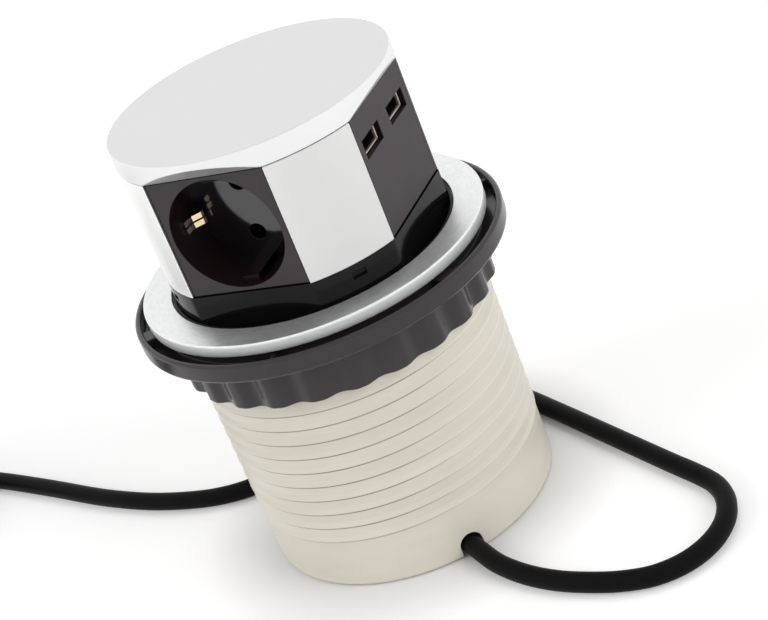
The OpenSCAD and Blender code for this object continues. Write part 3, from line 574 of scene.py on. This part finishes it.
def buildTie():
    t = tieShape
    edge = t["at"] - t["wide"] / 2
    loop = eased([(y, z, t["rounding"]) for y, z in ((t["near"], t["low"]), (t["far"], t["low"]),
                                                     (t["far"], t["high"]), (t["near"], t["high"]))], steps=6)
    tie = drawn("coilTie", [(edge, p.x, p.y) for p in loop], loopEdges(len(loop)))
    openAll("EDGE")
    pulled(t["wide"], 0, 0)
    closeOutward()
    applied(tie, "SOLIDIFY", thickness=t["thick"] * mm, offset=0, use_even_offset=True)
    # the free end of the strap lies on top as a second layer
    ends = (t["near"] + t["endNear"], t["far"] - t["endFar"])
    flap = drawn("coilTieEnd", [(edge, y, t["high"] + t["endLift"]) for y in ends], [(0, 1)])
    openAll()
    pulled(t["wide"], 0, 0)
    pulled(0, 0, t["endThick"])
    closeOutward()
    return rounded(joinInto(tie, [flap]), t["edge"], angle=40)


coilTie = settle(wear(buildTie(), mixTie()), "base", "tie_black", "coil_tie")
print("plug and tie finished")


# finishes shared by several pieces
socketSatin = plainFinish("socketSatin", (0.057, 0.0500, 0.0522), rough=0.46, grain=2600, depth=0.16, specular=0.14)
# recess walls, face edges and the polished recess floor are painted near black as painted shade; the floor's sheen is
# its own gloss
recessShadeGloss = plainFinish("recessShadeGloss", (0.0125, 0.0062, 0.0076), rough=0.30, roughSpread=0.08, depth=0,
                          specular=0.1)
recessShadeSheen = plainFinish("recessShadeSheen", (0.008, 0.0065, 0.0072), rough=0.09, roughSpread=0.05, depth=0,
                          specular=0.8, coat=0.3, coatRoughness=0.06)
charcoalSatin = plainFinish("charcoalSatin", (0.034, 0.0295, 0.0315), rough=0.22, scale=55, grain=1500, depth=0.06,
                            specular=0.34)
rubberBlack = plainFinish("rubberBlack", (0.010, 0.010, 0.010), rough=0.55, grain=1500, specular=0.3)
darkNylon = plainFinish("darkNylon", (0.05, 0.05, 0.052), rough=0.5, grain=1500)
whiteNylon = plainFinish("whiteNylon", (0.72, 0.71, 0.68), spread=0.04, rough=0.5, grain=1200)
plainSteel = plainFinish("plainSteel", (0.56, 0.57, 0.58), spread=0.08, rough=0.3, grain=900, depth=0.05,
                         metallic=1.0)
contactBrass = plainFinish("contactBrass", (0.72, 0.52, 0.27), rough=0.24, scale=120, depth=0.05, metallic=1.0)
print("finishes mixed")


# barrel with its foot rounding, cord notch and thread, which has a step below and a long slope above
barrelShape = dict(inner=50.1, outer=52.6, top=103.4, flange=59.46, flangeTop=105.9, ledge=44.5, ledgeLow=16.0,
                   ledgeTop=18.8, footRounding=1.7, lip=0.5, flangeEdge=0.4,
                   notchWidth=8.6, notchHeight=8.2, notchTurn=-45, notchFrom=44, notchLength=14, notchBelow=2,
                   notchSteps=24)
threadShape = dict(pitch=5.9, turns=14, steps=180, crest=53.1, root=52.45, foot=1.3, land=(-0.3, 0.1), slope=2.3,
                   stepEdge=0.18, slopeEdge=0.6, height=20.3, turnAt=263.0, startDrop=3.4, fade=26)
# the brown thread line is dirt and painted shade; the pale crest tone is a painted highlight
creamLook = dict(low=(0.692, 0.645, 0.556), high=(0.775, 0.728, 0.640), dirtAndShade=(0.20, 0.16, 0.115),
                 crestHighlight=(0.95, 0.93, 0.88), streak=(14, 14, 90), streakTurn=(0.5, 0.2, 0),
                 dirtShadeDrop=0.08, shadeTurn=128, dirtShadeFrom=0.03, dirtShadeClimb=8.8, wear=0.6)


def mixCream():
    c, t = creamLook, threadShape
    look = Finish("creamMoulding", specular=0.45)
    cloud = look.noise(16, detail=4, roughness=0.6)
    streak = look.noise(1, detail=4, roughness=0.6, vector=look.stretched(c["streak"], c["streakTurn"]))
    tone = look.mix(look.ramp(streak * 0.65 + cloud * 0.35, (0.34, 0.0), (0.68, 1.0)), c["low"], c["high"])
    turn, rise = look.polar()[1:]
    start = (t["height"] - t["foot"] / 2 - c["dirtShadeDrop"]) * mm
    phase = (rise - start) * (1 / (t["pitch"] * mm)) - (turn * (1 / math.tau) - t["turnAt"] / 360)
    phase = (phase + 0.5).calc("FRACT")
    threaded = look.ramp(rise * (1 / 0.105), (0.165, 0.0), (0.20, 1.0))
    # a brown line under each turn of the thread, dirt in the root and painted shade under the ridge, stronger on one
    # side and towards the nut
    line = look.ramp(phase, (0.43, 0.0), (0.475, 0.75), (0.505, 1.0), (0.535, 0.0))
    side = (turn + math.radians(c["shadeTurn"])).calc("COSINE") + (rise - c["dirtShadeFrom"]) * c["dirtShadeClimb"]
    side = look.ramp(side, (0.0, 0.08), (0.45, 1.0))
    dirtAndShade = line * threaded * side * (look.noise(30) * 0.8 + 0.5)
    # crests painted pale on the other side, a painted highlight where the light catches them, as strong as the wear
    # value
    crest = look.ramp(phase, (0.55, 0.0), (0.58, 1.0), (0.62, 1.0), (0.67, 0.0))
    crestHighlighted = look.mix(crest * threaded * (1 - side) * c["wear"], tone, c["crestHighlight"])
    look.feed("color", look.mix(dirtAndShade, crestHighlighted, c["dirtAndShade"]))
    look.feed("roughness", cloud * 0.2 + 0.28)
    look.bump(look.noise(420), strength=0.06, distance=0.0001)
    return look


def archCutter():
    b = barrelShape
    half = b["notchWidth"] / 2
    spring = b["notchHeight"] - half
    angles = [math.pi * k / b["notchSteps"] for k in range(b["notchSteps"] + 1)]
    arch = [(half * math.cos(a), spring + half * math.sin(a)) for a in angles]
    outline = [(half, -b["notchBelow"])] + arch + [(-half, -b["notchBelow"])]
    cutter = drawn("notchCutter", [(0, y, z) for y, z in outline], faces=[tuple(range(len(outline)))])
    openAll()
    pulled(b["notchLength"], 0, 0)
    closeOutward()
    cutter.data.transform(spun(b["notchTurn"]) @ shifted(b["notchFrom"], 0, 0))
    return cutter


def buildBarrel():
    b = barrelShape
    barrel = turnedPiece("barrelShell", [
        (b["ledge"], b["ledgeLow"]), (b["inner"], b["ledgeLow"]), (b["inner"], 0, b["lip"]),
        (b["outer"], 0, b["footRounding"]), (b["outer"], b["top"]), (b["flange"], b["top"], b["flangeEdge"]),
        (b["flange"], b["flangeTop"], b["flangeEdge"]), (b["inner"], b["flangeTop"], b["lip"]),
        (b["inner"], b["ledgeTop"]), (b["ledge"], b["ledgeTop"])], steps=240)
    cutAway(barrel, archCutter())
    return smoothed(barrel, angle=30)


def buildThread():
    t = threadShape
    profile = eased([(t["root"], -t["foot"] / 2), (t["crest"], t["land"][0], t["stepEdge"]),
                     (t["crest"], t["land"][1], t["slopeEdge"]), (t["root"], t["slope"])], steps=3)
    count = len(profile)
    ridge = drawn("barrelThread", [(p.x, 0, p.y) for p in profile], loopEdges(count))
    applied(ridge, "SCREW", angle=math.tau, screw_offset=t["pitch"] * mm, iterations=t["turns"], steps=t["steps"],
            render_steps=t["steps"], axis="Z", use_merge_vertices=False, use_normal_calculate=True)
    openAll()  # closed while both ends are still thick, so that the faces turn outwards
    bpy.ops.mesh.select_all(action="DESELECT")
    bpy.ops.mesh.select_non_manifold(extend=False, use_wire=False, use_multi_face=False,
                                     use_non_contiguous=False, use_verts=False)
    bpy.ops.mesh.edge_face_add()
    closeOutward()
    mesh = ridge.data
    last = len(mesh.vertices) // count - 1
    root = t["root"] * mm
    for i, vertex in enumerate(mesh.vertices):  # both ends run out into the barrel
        step = i // count
        share = min(1, step / t["fade"], (last - step) / t["fade"])
        radius = math.hypot(vertex.co.x, vertex.co.y)
        flatter = (root + (radius - root) * math.sin(share * math.pi / 2)) / radius
        vertex.co.x *= flatter
        vertex.co.y *= flatter
    startTurn = t["turnAt"] - 360 * t["startDrop"] / t["pitch"]
    mesh.transform(shifted(0, 0, t["height"] - t["startDrop"]) @ spun(startTurn))
    return smoothed(ridge, angle=40)


creamMoulding = mixCream()
settle(wear(buildBarrel(), creamMoulding), "base", "cream_plastic", "barrel")
settle(wear(buildThread(), creamMoulding), "base", "cream_plastic")
print("barrel turned and threaded")


# trim ring, brushed round its face
ringShape = dict(bore=51.06, outer=61.56, top=107.65, seat=105.9, low=103.4, skirt=59.76, edge=0.4, lip=0.35,
                 foot=0.2)
ringLook = dict(low=(0.82, 0.84, 0.835), high=(1.0, 1.0, 1.0), side=(0.50, 0.515, 0.51),
                hair=(6000, 14), streak=(1250, 16), speck=420)


def mixRing():
    look = Finish("ringBrushed", metallic=0.85)
    radius, turn, rise = look.polar()
    across, around = ringLook["hair"]
    brushing = look.joined(radius * across, turn * around, rise * across)
    hair = look.noise(1, detail=4, roughness=0.6, vector=brushing)
    across, around = ringLook["streak"]
    brushing = look.joined(radius * across, turn * around, rise * across)
    streak = look.noise(1, detail=4, roughness=0.65, vector=brushing)
    speck = look.noise(ringLook["speck"], roughness=0.7)
    face = look.mix(look.ramp(streak * 0.7 + speck * 0.3, (0.3, 0.0), (0.7, 1.0)), ringLook["low"], ringLook["high"])
    side = look.ramp(rise * (1 / (ringShape["top"] * mm)), (0.990, 1.0), (0.996, 0.0))  # the side wall painted darker than the face as painted shade, and rougher
    look.feed("color", look.mix(side * 0.55, face, ringLook["side"]))
    look.feed("roughness", hair * 0.10 + streak * 0.22 + side * 0.1 + 0.24)
    look.bump(hair * 0.5 + streak * 0.5, strength=0.14, distance=0.00008)
    return look


def buildRing():
    r = ringShape
    ring = turnedPiece("trimRing", [
        (r["bore"], r["seat"]), (r["bore"], r["top"], r["lip"]), (r["outer"], r["top"], r["edge"]),
        (r["outer"], r["low"], r["lip"]), (r["skirt"], r["low"], r["foot"]), (r["skirt"], r["seat"])],
        steps=256, arc=8)
    return smoothed(ring, angle=40)


settle(wear(buildRing(), mixRing()), "base", "brushed_aluminium", "trim_ring")
print("trim ring turned")


# clamp ring with its channel and webs
clampShape = dict(bore=53.3, outer=66.66, low=96.4, top=103.2, floor=98.4, rim=64.46, hub=57.9,
                  footEdge=1.3, topEdge=1.2, rimEdge=0.9, channel=0.8, hubEdge=0.4,
                  webs=6, webTop=102.0, webSink=0.9, hubSink=0.8, thin=1.4, wide=7.5, webEdge=0.4, turn=8.2)


def buildClamp():
    c = clampShape
    ring = turnedPiece("clampRing", [
        (c["bore"], c["low"]), (c["outer"], c["low"], c["footEdge"]), (c["outer"], c["top"], c["topEdge"]),
        (c["rim"], c["top"], c["rimEdge"]), (c["rim"], c["floor"], c["channel"]),
        (c["hub"], c["floor"], c["channel"]), (c["hub"], c["top"], c["hubEdge"]), (c["bore"], c["top"])], steps=240)
    low, high = c["floor"] - c["webSink"], c["webTop"]  # the webs sink a little into the ring
    near, far = c["hub"] - c["hubSink"], c["rim"] + c["webSink"]
    webs = []
    for k in range(c["webs"]):
        width = c["thin"] if k % 2 == 0 else c["wide"]
        web = block((width, far - near, high - low), (0, -(near + far) / 2, (low + high) / 2))
        applied(web, "BEVEL", width=c["webEdge"] * mm, segments=3, limit_method="ANGLE")
        web.data.transform(spun(c["turn"] + 360 / c["webs"] * k))
        webs.append(web)
    return smoothed(joinInto(ring, webs))


settle(wear(buildClamp(), charcoalSatin), "clamp", "charcoal_plastic", "clamp_ring")
print("clamp ring moulded")


# lobed nut
nutShape = dict(bore=53.3, lobe=56.9, low=79.0, top=96.2, lobes=24, depth=1.95, halfWidth=6.4, points=576, edge=1.1)


def buildNut():
    n = nutShape
    outer, inner = [], []
    for i in range(n["points"]):
        phi = math.tau * i / n["points"]
        part = (phi * n["lobes"] / math.tau - 0.5) % 1
        away = min(part, 1 - part) * math.tau / n["lobes"] * n["lobe"]
        dip = 0.5 + 0.5 * math.cos(math.pi * min(1, away / n["halfWidth"]))
        radius = n["lobe"] - n["depth"] * dip
        outer.append((radius * math.sin(phi), -radius * math.cos(phi), n["low"]))
        inner.append((n["bore"] * math.sin(phi), -n["bore"] * math.cos(phi), n["low"]))
    count = n["points"]
    links = loopEdges(count)
    nut = drawn("clampNut", outer + inner, links + [(a + count, b + count) for a, b in links])
    openAll()
    bpy.ops.mesh.bridge_edge_loops()
    pulled(0, 0, n["top"] - n["low"])
    closeOutward()
    return rounded(nut, n["edge"], segments=4, angle=60)


settle(wear(buildNut(), charcoalSatin), "nut", "charcoal_plastic", "clamp_nut")
print("nut moulded")


# head: cap with four slanted facets, side panels, skirt
capShape = dict(radius=49.5, low=159.95, top=167.65, hollow=40.0, hollowTop=162.95, edge=0.55, flat=44.25, rise=5.0,
                depth=5.25, facetEdge=0.22)
headEdge = dict(panel=0.35, skirt=0.25)


# satin silver with a hair-fine grain along one direction, and painted light and shade sweeping round the axis
def satinMetal(name, tone, rough, metallic, streak, spread, shadeSweep=0.0):
    look = Finish(name, metallic=metallic)
    hair = look.noise(1, detail=4, roughness=0.6, vector=look.stretched(streak))
    cloud = look.noise(38)
    # painted light and shade: lighter and darker by turn round the axis
    paintedLightWave = (look.polar()[1] * 2).calc("SINE") * 0.5 + 0.5
    share = cloud * (1 - shadeSweep) + paintedLightWave * shadeSweep
    look.feed("color", look.mix(share, tuple(c * (1 - spread) for c in tone), tuple(c * (1 + spread) for c in tone)))
    look.feed("roughness", hair * 0.10 + cloud * 0.10 + (rough - 0.10))
    look.bump(hair, strength=0.05, distance=0.00004)
    return look


capSilver = satinMetal("capSilver", (0.775, 0.775, 0.78), rough=0.36, metallic=0.78, streak=(900, 900, 900),
                       spread=0.02)
panelSilver = satinMetal("panelSilver", (0.79, 0.792, 0.785), rough=0.36, metallic=0.72, streak=(60, 60, 1500),
                         spread=0.20, shadeSweep=0.85)
skirtGloss = plainFinish("skirtGloss", (0.0055, 0.0052, 0.0056), rough=0.12, roughSpread=0.08, depth=0.03, grain=300,
                         specular=0.17)


# outwards and along a face of the head that is turned from the front
def faceAxes(turn):
    return Vector((math.sin(turn), -math.cos(turn), 0)), Vector((math.cos(turn), math.sin(turn), 0))


def buildCap():
    c = capShape
    cap = turnedPiece("headCap", [
        (0, c["top"]), (c["radius"], c["top"], c["edge"]), (c["radius"], c["low"]), (c["hollow"], c["low"]),
        (c["hollow"], c["hollowTop"]), (0, c["hollowTop"])], steps=256, arc=6, closed=False)
    for k in range(4):
        out = faceAxes(math.pi / 2 * k)[0]
        pick(cap)
        openAll()
        bpy.ops.mesh.bisect(plane_co=(out * c["flat"] + Vector((0, 0, c["low"]))) * mm,
                            plane_no=(out * c["rise"] - Vector((0, 0, c["depth"]))).normalized(),
                            use_fill=True, clear_outer=True)
        closeOutward(weld["cut"])
    return rounded(cap, c["facetEdge"], angle=25)


settle(wear(buildCap(), capSilver), "head", "silver_cap", "head_cap")
for side in "abcd":
    panel = brokenEdges("side_panel_" + side, headEdge["panel"], segments=3)
    settle(wear(panel, panelSilver), "head", "silver_panel", "side_panel_" + side)
skirt = brokenEdges("head_skirt", headEdge["skirt"], flatten=False)  # its rod holes stay open
settle(wear(skirt, skirtGloss), "head", "black_gloss", "head_skirt")
print("cap, side panels and skirt finished")


# socket modules: satin face; its edge, the glossy recess and its polished floor painted near black as painted shade
socketShape = dict(faceAt=43.75, halfWidth=21.885, low=116.85, high=159.95, recess=19.75, floorAt=26.75, centre=138.4,
                   edge=0.55, rim=0.35, pins=9.5, pinHole=2.75, pinRim=0.4, innerEdge=0.18, edgeSegments=3)
# how close to its place an edge or a face has to lie, and how square a face stands
slack = dict(face=0.01, side=0.05, end=0.02, depth=0.02, ring=0.03, level=0.03, facing=0.97)


def bevelEdges(piece, test, width):
    pick(piece)
    openAll("EDGE")
    mesh = bmesh.from_edit_mesh(piece.data)
    bpy.ops.mesh.select_all(action="DESELECT")
    for edge in mesh.edges:
        edge.select_set(test(*[v.co / mm for v in edge.verts]))
    mesh.select_flush_mode()
    bmesh.update_edit_mesh(piece.data)
    bpy.ops.mesh.bevel(offset=width * mm, segments=socketShape["edgeSegments"], affect="EDGES", clamp_overlap=True)
    bpy.ops.object.mode_set(mode="OBJECT")


def frontBorder(turn):
    f = socketShape
    out, along = faceAxes(turn)

    def test(a, b):
        if min(a.dot(out), b.dot(out)) < f["faceAt"] - slack["face"]:
            return False
        side = min(abs(a.dot(along)), abs(b.dot(along))) > f["halfWidth"] - slack["side"]
        return side or max(a.z, b.z) < f["low"] + slack["end"] or min(a.z, b.z) > f["high"] - slack["end"]
    return test


def ringOf(turn, depth, radius, height):
    out, along = faceAxes(turn)

    def onRing(end):
        away = math.hypot(end.dot(along), end.z - height)
        return abs(end.dot(out) - depth) < slack["depth"] and abs(away - radius) < slack["ring"]

    def test(a, b):
        return onRing(a) and onRing(b)
    return test


def buildSocket(node, turn):
    f = socketShape
    out, along = faceAxes(turn)
    module = brokenEdges(node, 0)
    bevelEdges(module, frontBorder(turn), f["edge"])
    bevelEdges(module, ringOf(turn, f["faceAt"], f["recess"], f["centre"]), f["rim"])
    for side in (-1, 1):
        bevelEdges(module, ringOf(turn, f["floorAt"], f["pinHole"], f["centre"] + side * f["pins"]), f["pinRim"])
    wear(rounded(module, f["innerEdge"], angle=50), socketSatin, recessShadeGloss, recessShadeSheen)
    # faces off the flat face take the painted shade, the recess floor its glossy shaded copy
    for face in module.data.polygons:
        spot = face.center / mm
        depth = spot.dot(out)
        aside = math.hypot(spot.dot(along), spot.z - f["centre"])
        flat = face.normal.dot(out) > slack["facing"]
        onFace = flat and depth > f["faceAt"] - slack["level"]
        onFloor = flat and abs(depth - f["floorAt"]) < slack["level"] and aside < f["recess"]
        face.material_index = 0 if onFace else 2 if onFloor else 1
    settle(module, "head", "socket_black", node)


socketTurns = dict(front=0, left=-90, back=180)
for side, turn in socketTurns.items():
    buildSocket("socket_" + side, math.radians(turn))


# earth clips: one bent strip each, with two slit arms that spring inwards
clipShape = dict(thickness=0.6, width=4.4, centre=138.4, slit=(50, 20, 0.6), slitFrom=27.7, bend=0.5, bendSteps=4,
                 edge=0.12,
                 arm=((19.1, 36.0), (19.1, 33.2), (18.4, 32.0), (15.8, 29.4), (15.9, 28.3), (18.0, 27.5),
                      (18.0, 24.35)))  # place across the recess and distance from the axis
clipBrass = plainFinish("clipBrass", (0.80, 0.66, 0.45), spread=0.10, rough=0.22, scale=140, depth=0.05, metallic=1.0)


def buildClip(node, turn):
    c = clipShape
    arms = list(c["arm"]) + [(-x, d) for x, d in reversed(c["arm"])]
    arc = c["bendSteps"] + 1
    path = eased([(*p, c["bend"]) for p in arms], c["bendSteps"])[arc:-arc]  # the two ends stay square
    path = [Vector(arms[0])] + path + [Vector(arms[-1])]
    low = c["centre"] - c["width"] / 2
    clip = drawn(node + "Bent", [(p.x, -p.y, low) for p in path], loopEdges(len(path), False))
    openAll("EDGE")
    pulled(0, 0, c["width"])
    closeOutward()
    applied(clip, "SOLIDIFY", thickness=c["thickness"] * mm, offset=0, use_even_offset=True)
    cutAway(clip, block(c["slit"], (0, -(c["slitFrom"] + c["slit"][1] / 2), c["centre"])))
    rounded(clip, c["edge"], angle=40)
    clip.data.transform(spun(turn))
    settle(wear(clip, clipBrass), "head", "brass", node)


for side, turn in socketTurns.items():
    buildClip("earth_clip_" + side, turn)
print("sockets finished")


# USB face and ports
# the dark port colour is painted shade further into the ports
portShape = dict(faceEdge=0.2, shellEdge=0.12, tongueEdge=0.2, portShadeFrom=0.0402, portShadeOver=0.0018,
                 dark=(0.035, 0.027, 0.024), bright=(0.86, 0.78, 0.72))


# port shells, bright at the mouth and painted dark further in as painted shade
def mixPort():
    look = Finish("portNickel", metallic=0.7)
    depth = look.parts(look.place)[0]
    shade = look.ramp((depth - portShape["portShadeFrom"]) * (1 / portShape["portShadeOver"]), (0.25, 0.0), (0.75, 1.0))
    look.feed("color", look.mix(shade, portShape["dark"], portShape["bright"]))
    look.feed("roughness", look.noise(140) * 0.1 + 0.25)
    return look


usbFace = brokenEdges("usb_module", 0)
bevelEdges(usbFace, frontBorder(math.pi / 2), socketShape["edge"])
wear(rounded(usbFace, portShape["faceEdge"], angle=50), socketSatin, recessShadeGloss)
# the border and the port openings take the painted shade of the recess
for face in usbFace.data.polygons:
    level = face.center.x / mm > socketShape["faceAt"] - slack["level"]
    face.material_index = 0 if level and face.normal.x > slack["facing"] else 1
settle(usbFace, "head", "socket_black", "usb_module")
settle(wear(brokenEdges("usb_shells", portShape["shellEdge"]), mixPort()), "head", "nickel", "usb_shells")
settle(wear(brokenEdges("usb_tongues", portShape["tongueEdge"]), rubberBlack), "head", "socket_black", "usb_tongues")
print("ports finished")


# lift spring and inner lead; in the object they shorten as the head goes down
springShape = dict(radius=9.0, wire=1.8, turns=11, close=2.2, low=16.9, height=94.65, steps=40, sides=3)
leadShape = dict(radius=26.0, thick=5.0, slope=6.0, bend=20.0, straight=5.0, low=16.0, height=97.35, turnAt=135.0,
                 bendSteps=14, steps=160, sides=5)


def aroundAxis(radius, angle, height):
    return Vector((radius * math.cos(angle), radius * math.sin(angle), height))


def springPath():
    g = springShape
    path = []
    for i in range(g["steps"] * g["turns"] + 1):
        u = i / g["steps"]
        if u < 1:  # the first and last turns lie close
            rise = g["close"] * u
        elif u > g["turns"] - 1:
            rise = g["height"] - g["close"] * (g["turns"] - u)
        else:
            rise = g["close"] + (g["height"] - 2 * g["close"]) * (u - 1) / (g["turns"] - 2)
        path.append(aroundAxis(g["radius"], math.tau * u, g["low"] + rise))
    return path


# straight up, a bend into the winding, and the same again at the top
def leadPath():
    g = leadShape
    bend, straight, steps = g["bend"], g["straight"], g["steps"]
    slope = math.radians(g["slope"])
    midLow = straight + bend * math.cos(slope)
    midHeight = g["height"] - 2 * midLow
    midLength = midHeight / math.tan(slope)
    bendLength = bend * (1 - math.sin(slope))
    whole = 2 * bendLength + midLength
    bends = [(math.pi / 2 - slope) * k / g["bendSteps"] for k in range(g["bendSteps"] + 1)]
    foot = [(0, 0)] + [(bend * (1 - math.cos(b)), straight + bend * math.sin(b)) for b in bends]
    middle = [(bendLength + midLength * k / steps, midLow + midHeight * k / steps) for k in range(1, steps)]
    head = [(whole - along, g["height"] - rise) for along, rise in reversed(foot)]
    radius, start = g["radius"], math.radians(g["turnAt"])
    return [aroundAxis(radius, start + along / radius, g["low"] + rise) for along, rise in foot + middle + head]


def wound(name, path, thick, sides, finish, slot, node):
    pick(tubeCurve(name, path, thick, sides))
    bpy.ops.object.convert(target="MESH")
    settle(wear(smoothed(bpy.context.object, angle=50), finish), "base", slot, node)
    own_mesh(bpy.context.object)


wound("liftSpring", springPath(), springShape["wire"], springShape["sides"], plainSteel, "steel", "lift_spring")
wound("innerLead", leadPath(), leadShape["thick"], leadShape["sides"], cordBlack, "cord_black", "inner_lead")
print("spring and lead wound")


# finishes of the inner and carried-over solids
# contact sleeves in a brass darkened as painted shade, so the pin holes read black
sleeveBrassShaded = plainFinish("sleeveBrassShaded", (0.10, 0.07, 0.035), spread=0.2, scale=140, depth=0.05, metallic=1.0)
boardGreen = plainFinish("boardGreen", (0.02, 0.13, 0.05), rough=0.35, scale=200)
tapeYellow = plainFinish("tapeYellow", (0.62, 0.44, 0.05), scale=80)
sleeveBlue = plainFinish("sleeveBlue", (0.03, 0.05, 0.18), rough=0.2, scale=80)
innerFinish = dict(
    wiper_ring=rubberBlack, base_plate=darkNylon, base_screws=plainSteel, gland_body=darkNylon,
    cord_relief=rubberBlack, guide_rods=plainSteel, stop_washers=plainSteel, rod_screws=plainSteel,
    latch_body=darkNylon, guide_plate=darkNylon, guide_bushes=contactBrass, latch_striker=whiteNylon,
    contact_sleeves=sleeveBrassShaded, bus_bar_line=contactBrass, bus_bar_neutral=contactBrass, earth_bar=contactBrass,
    terminal_block=whiteNylon, usb_board=boardGreen, usb_transformer=tapeYellow, usb_capacitor=sleeveBlue)
for node, finish in innerFinish.items():
    wear(nodes[node], finish)
print("inner pieces finished")
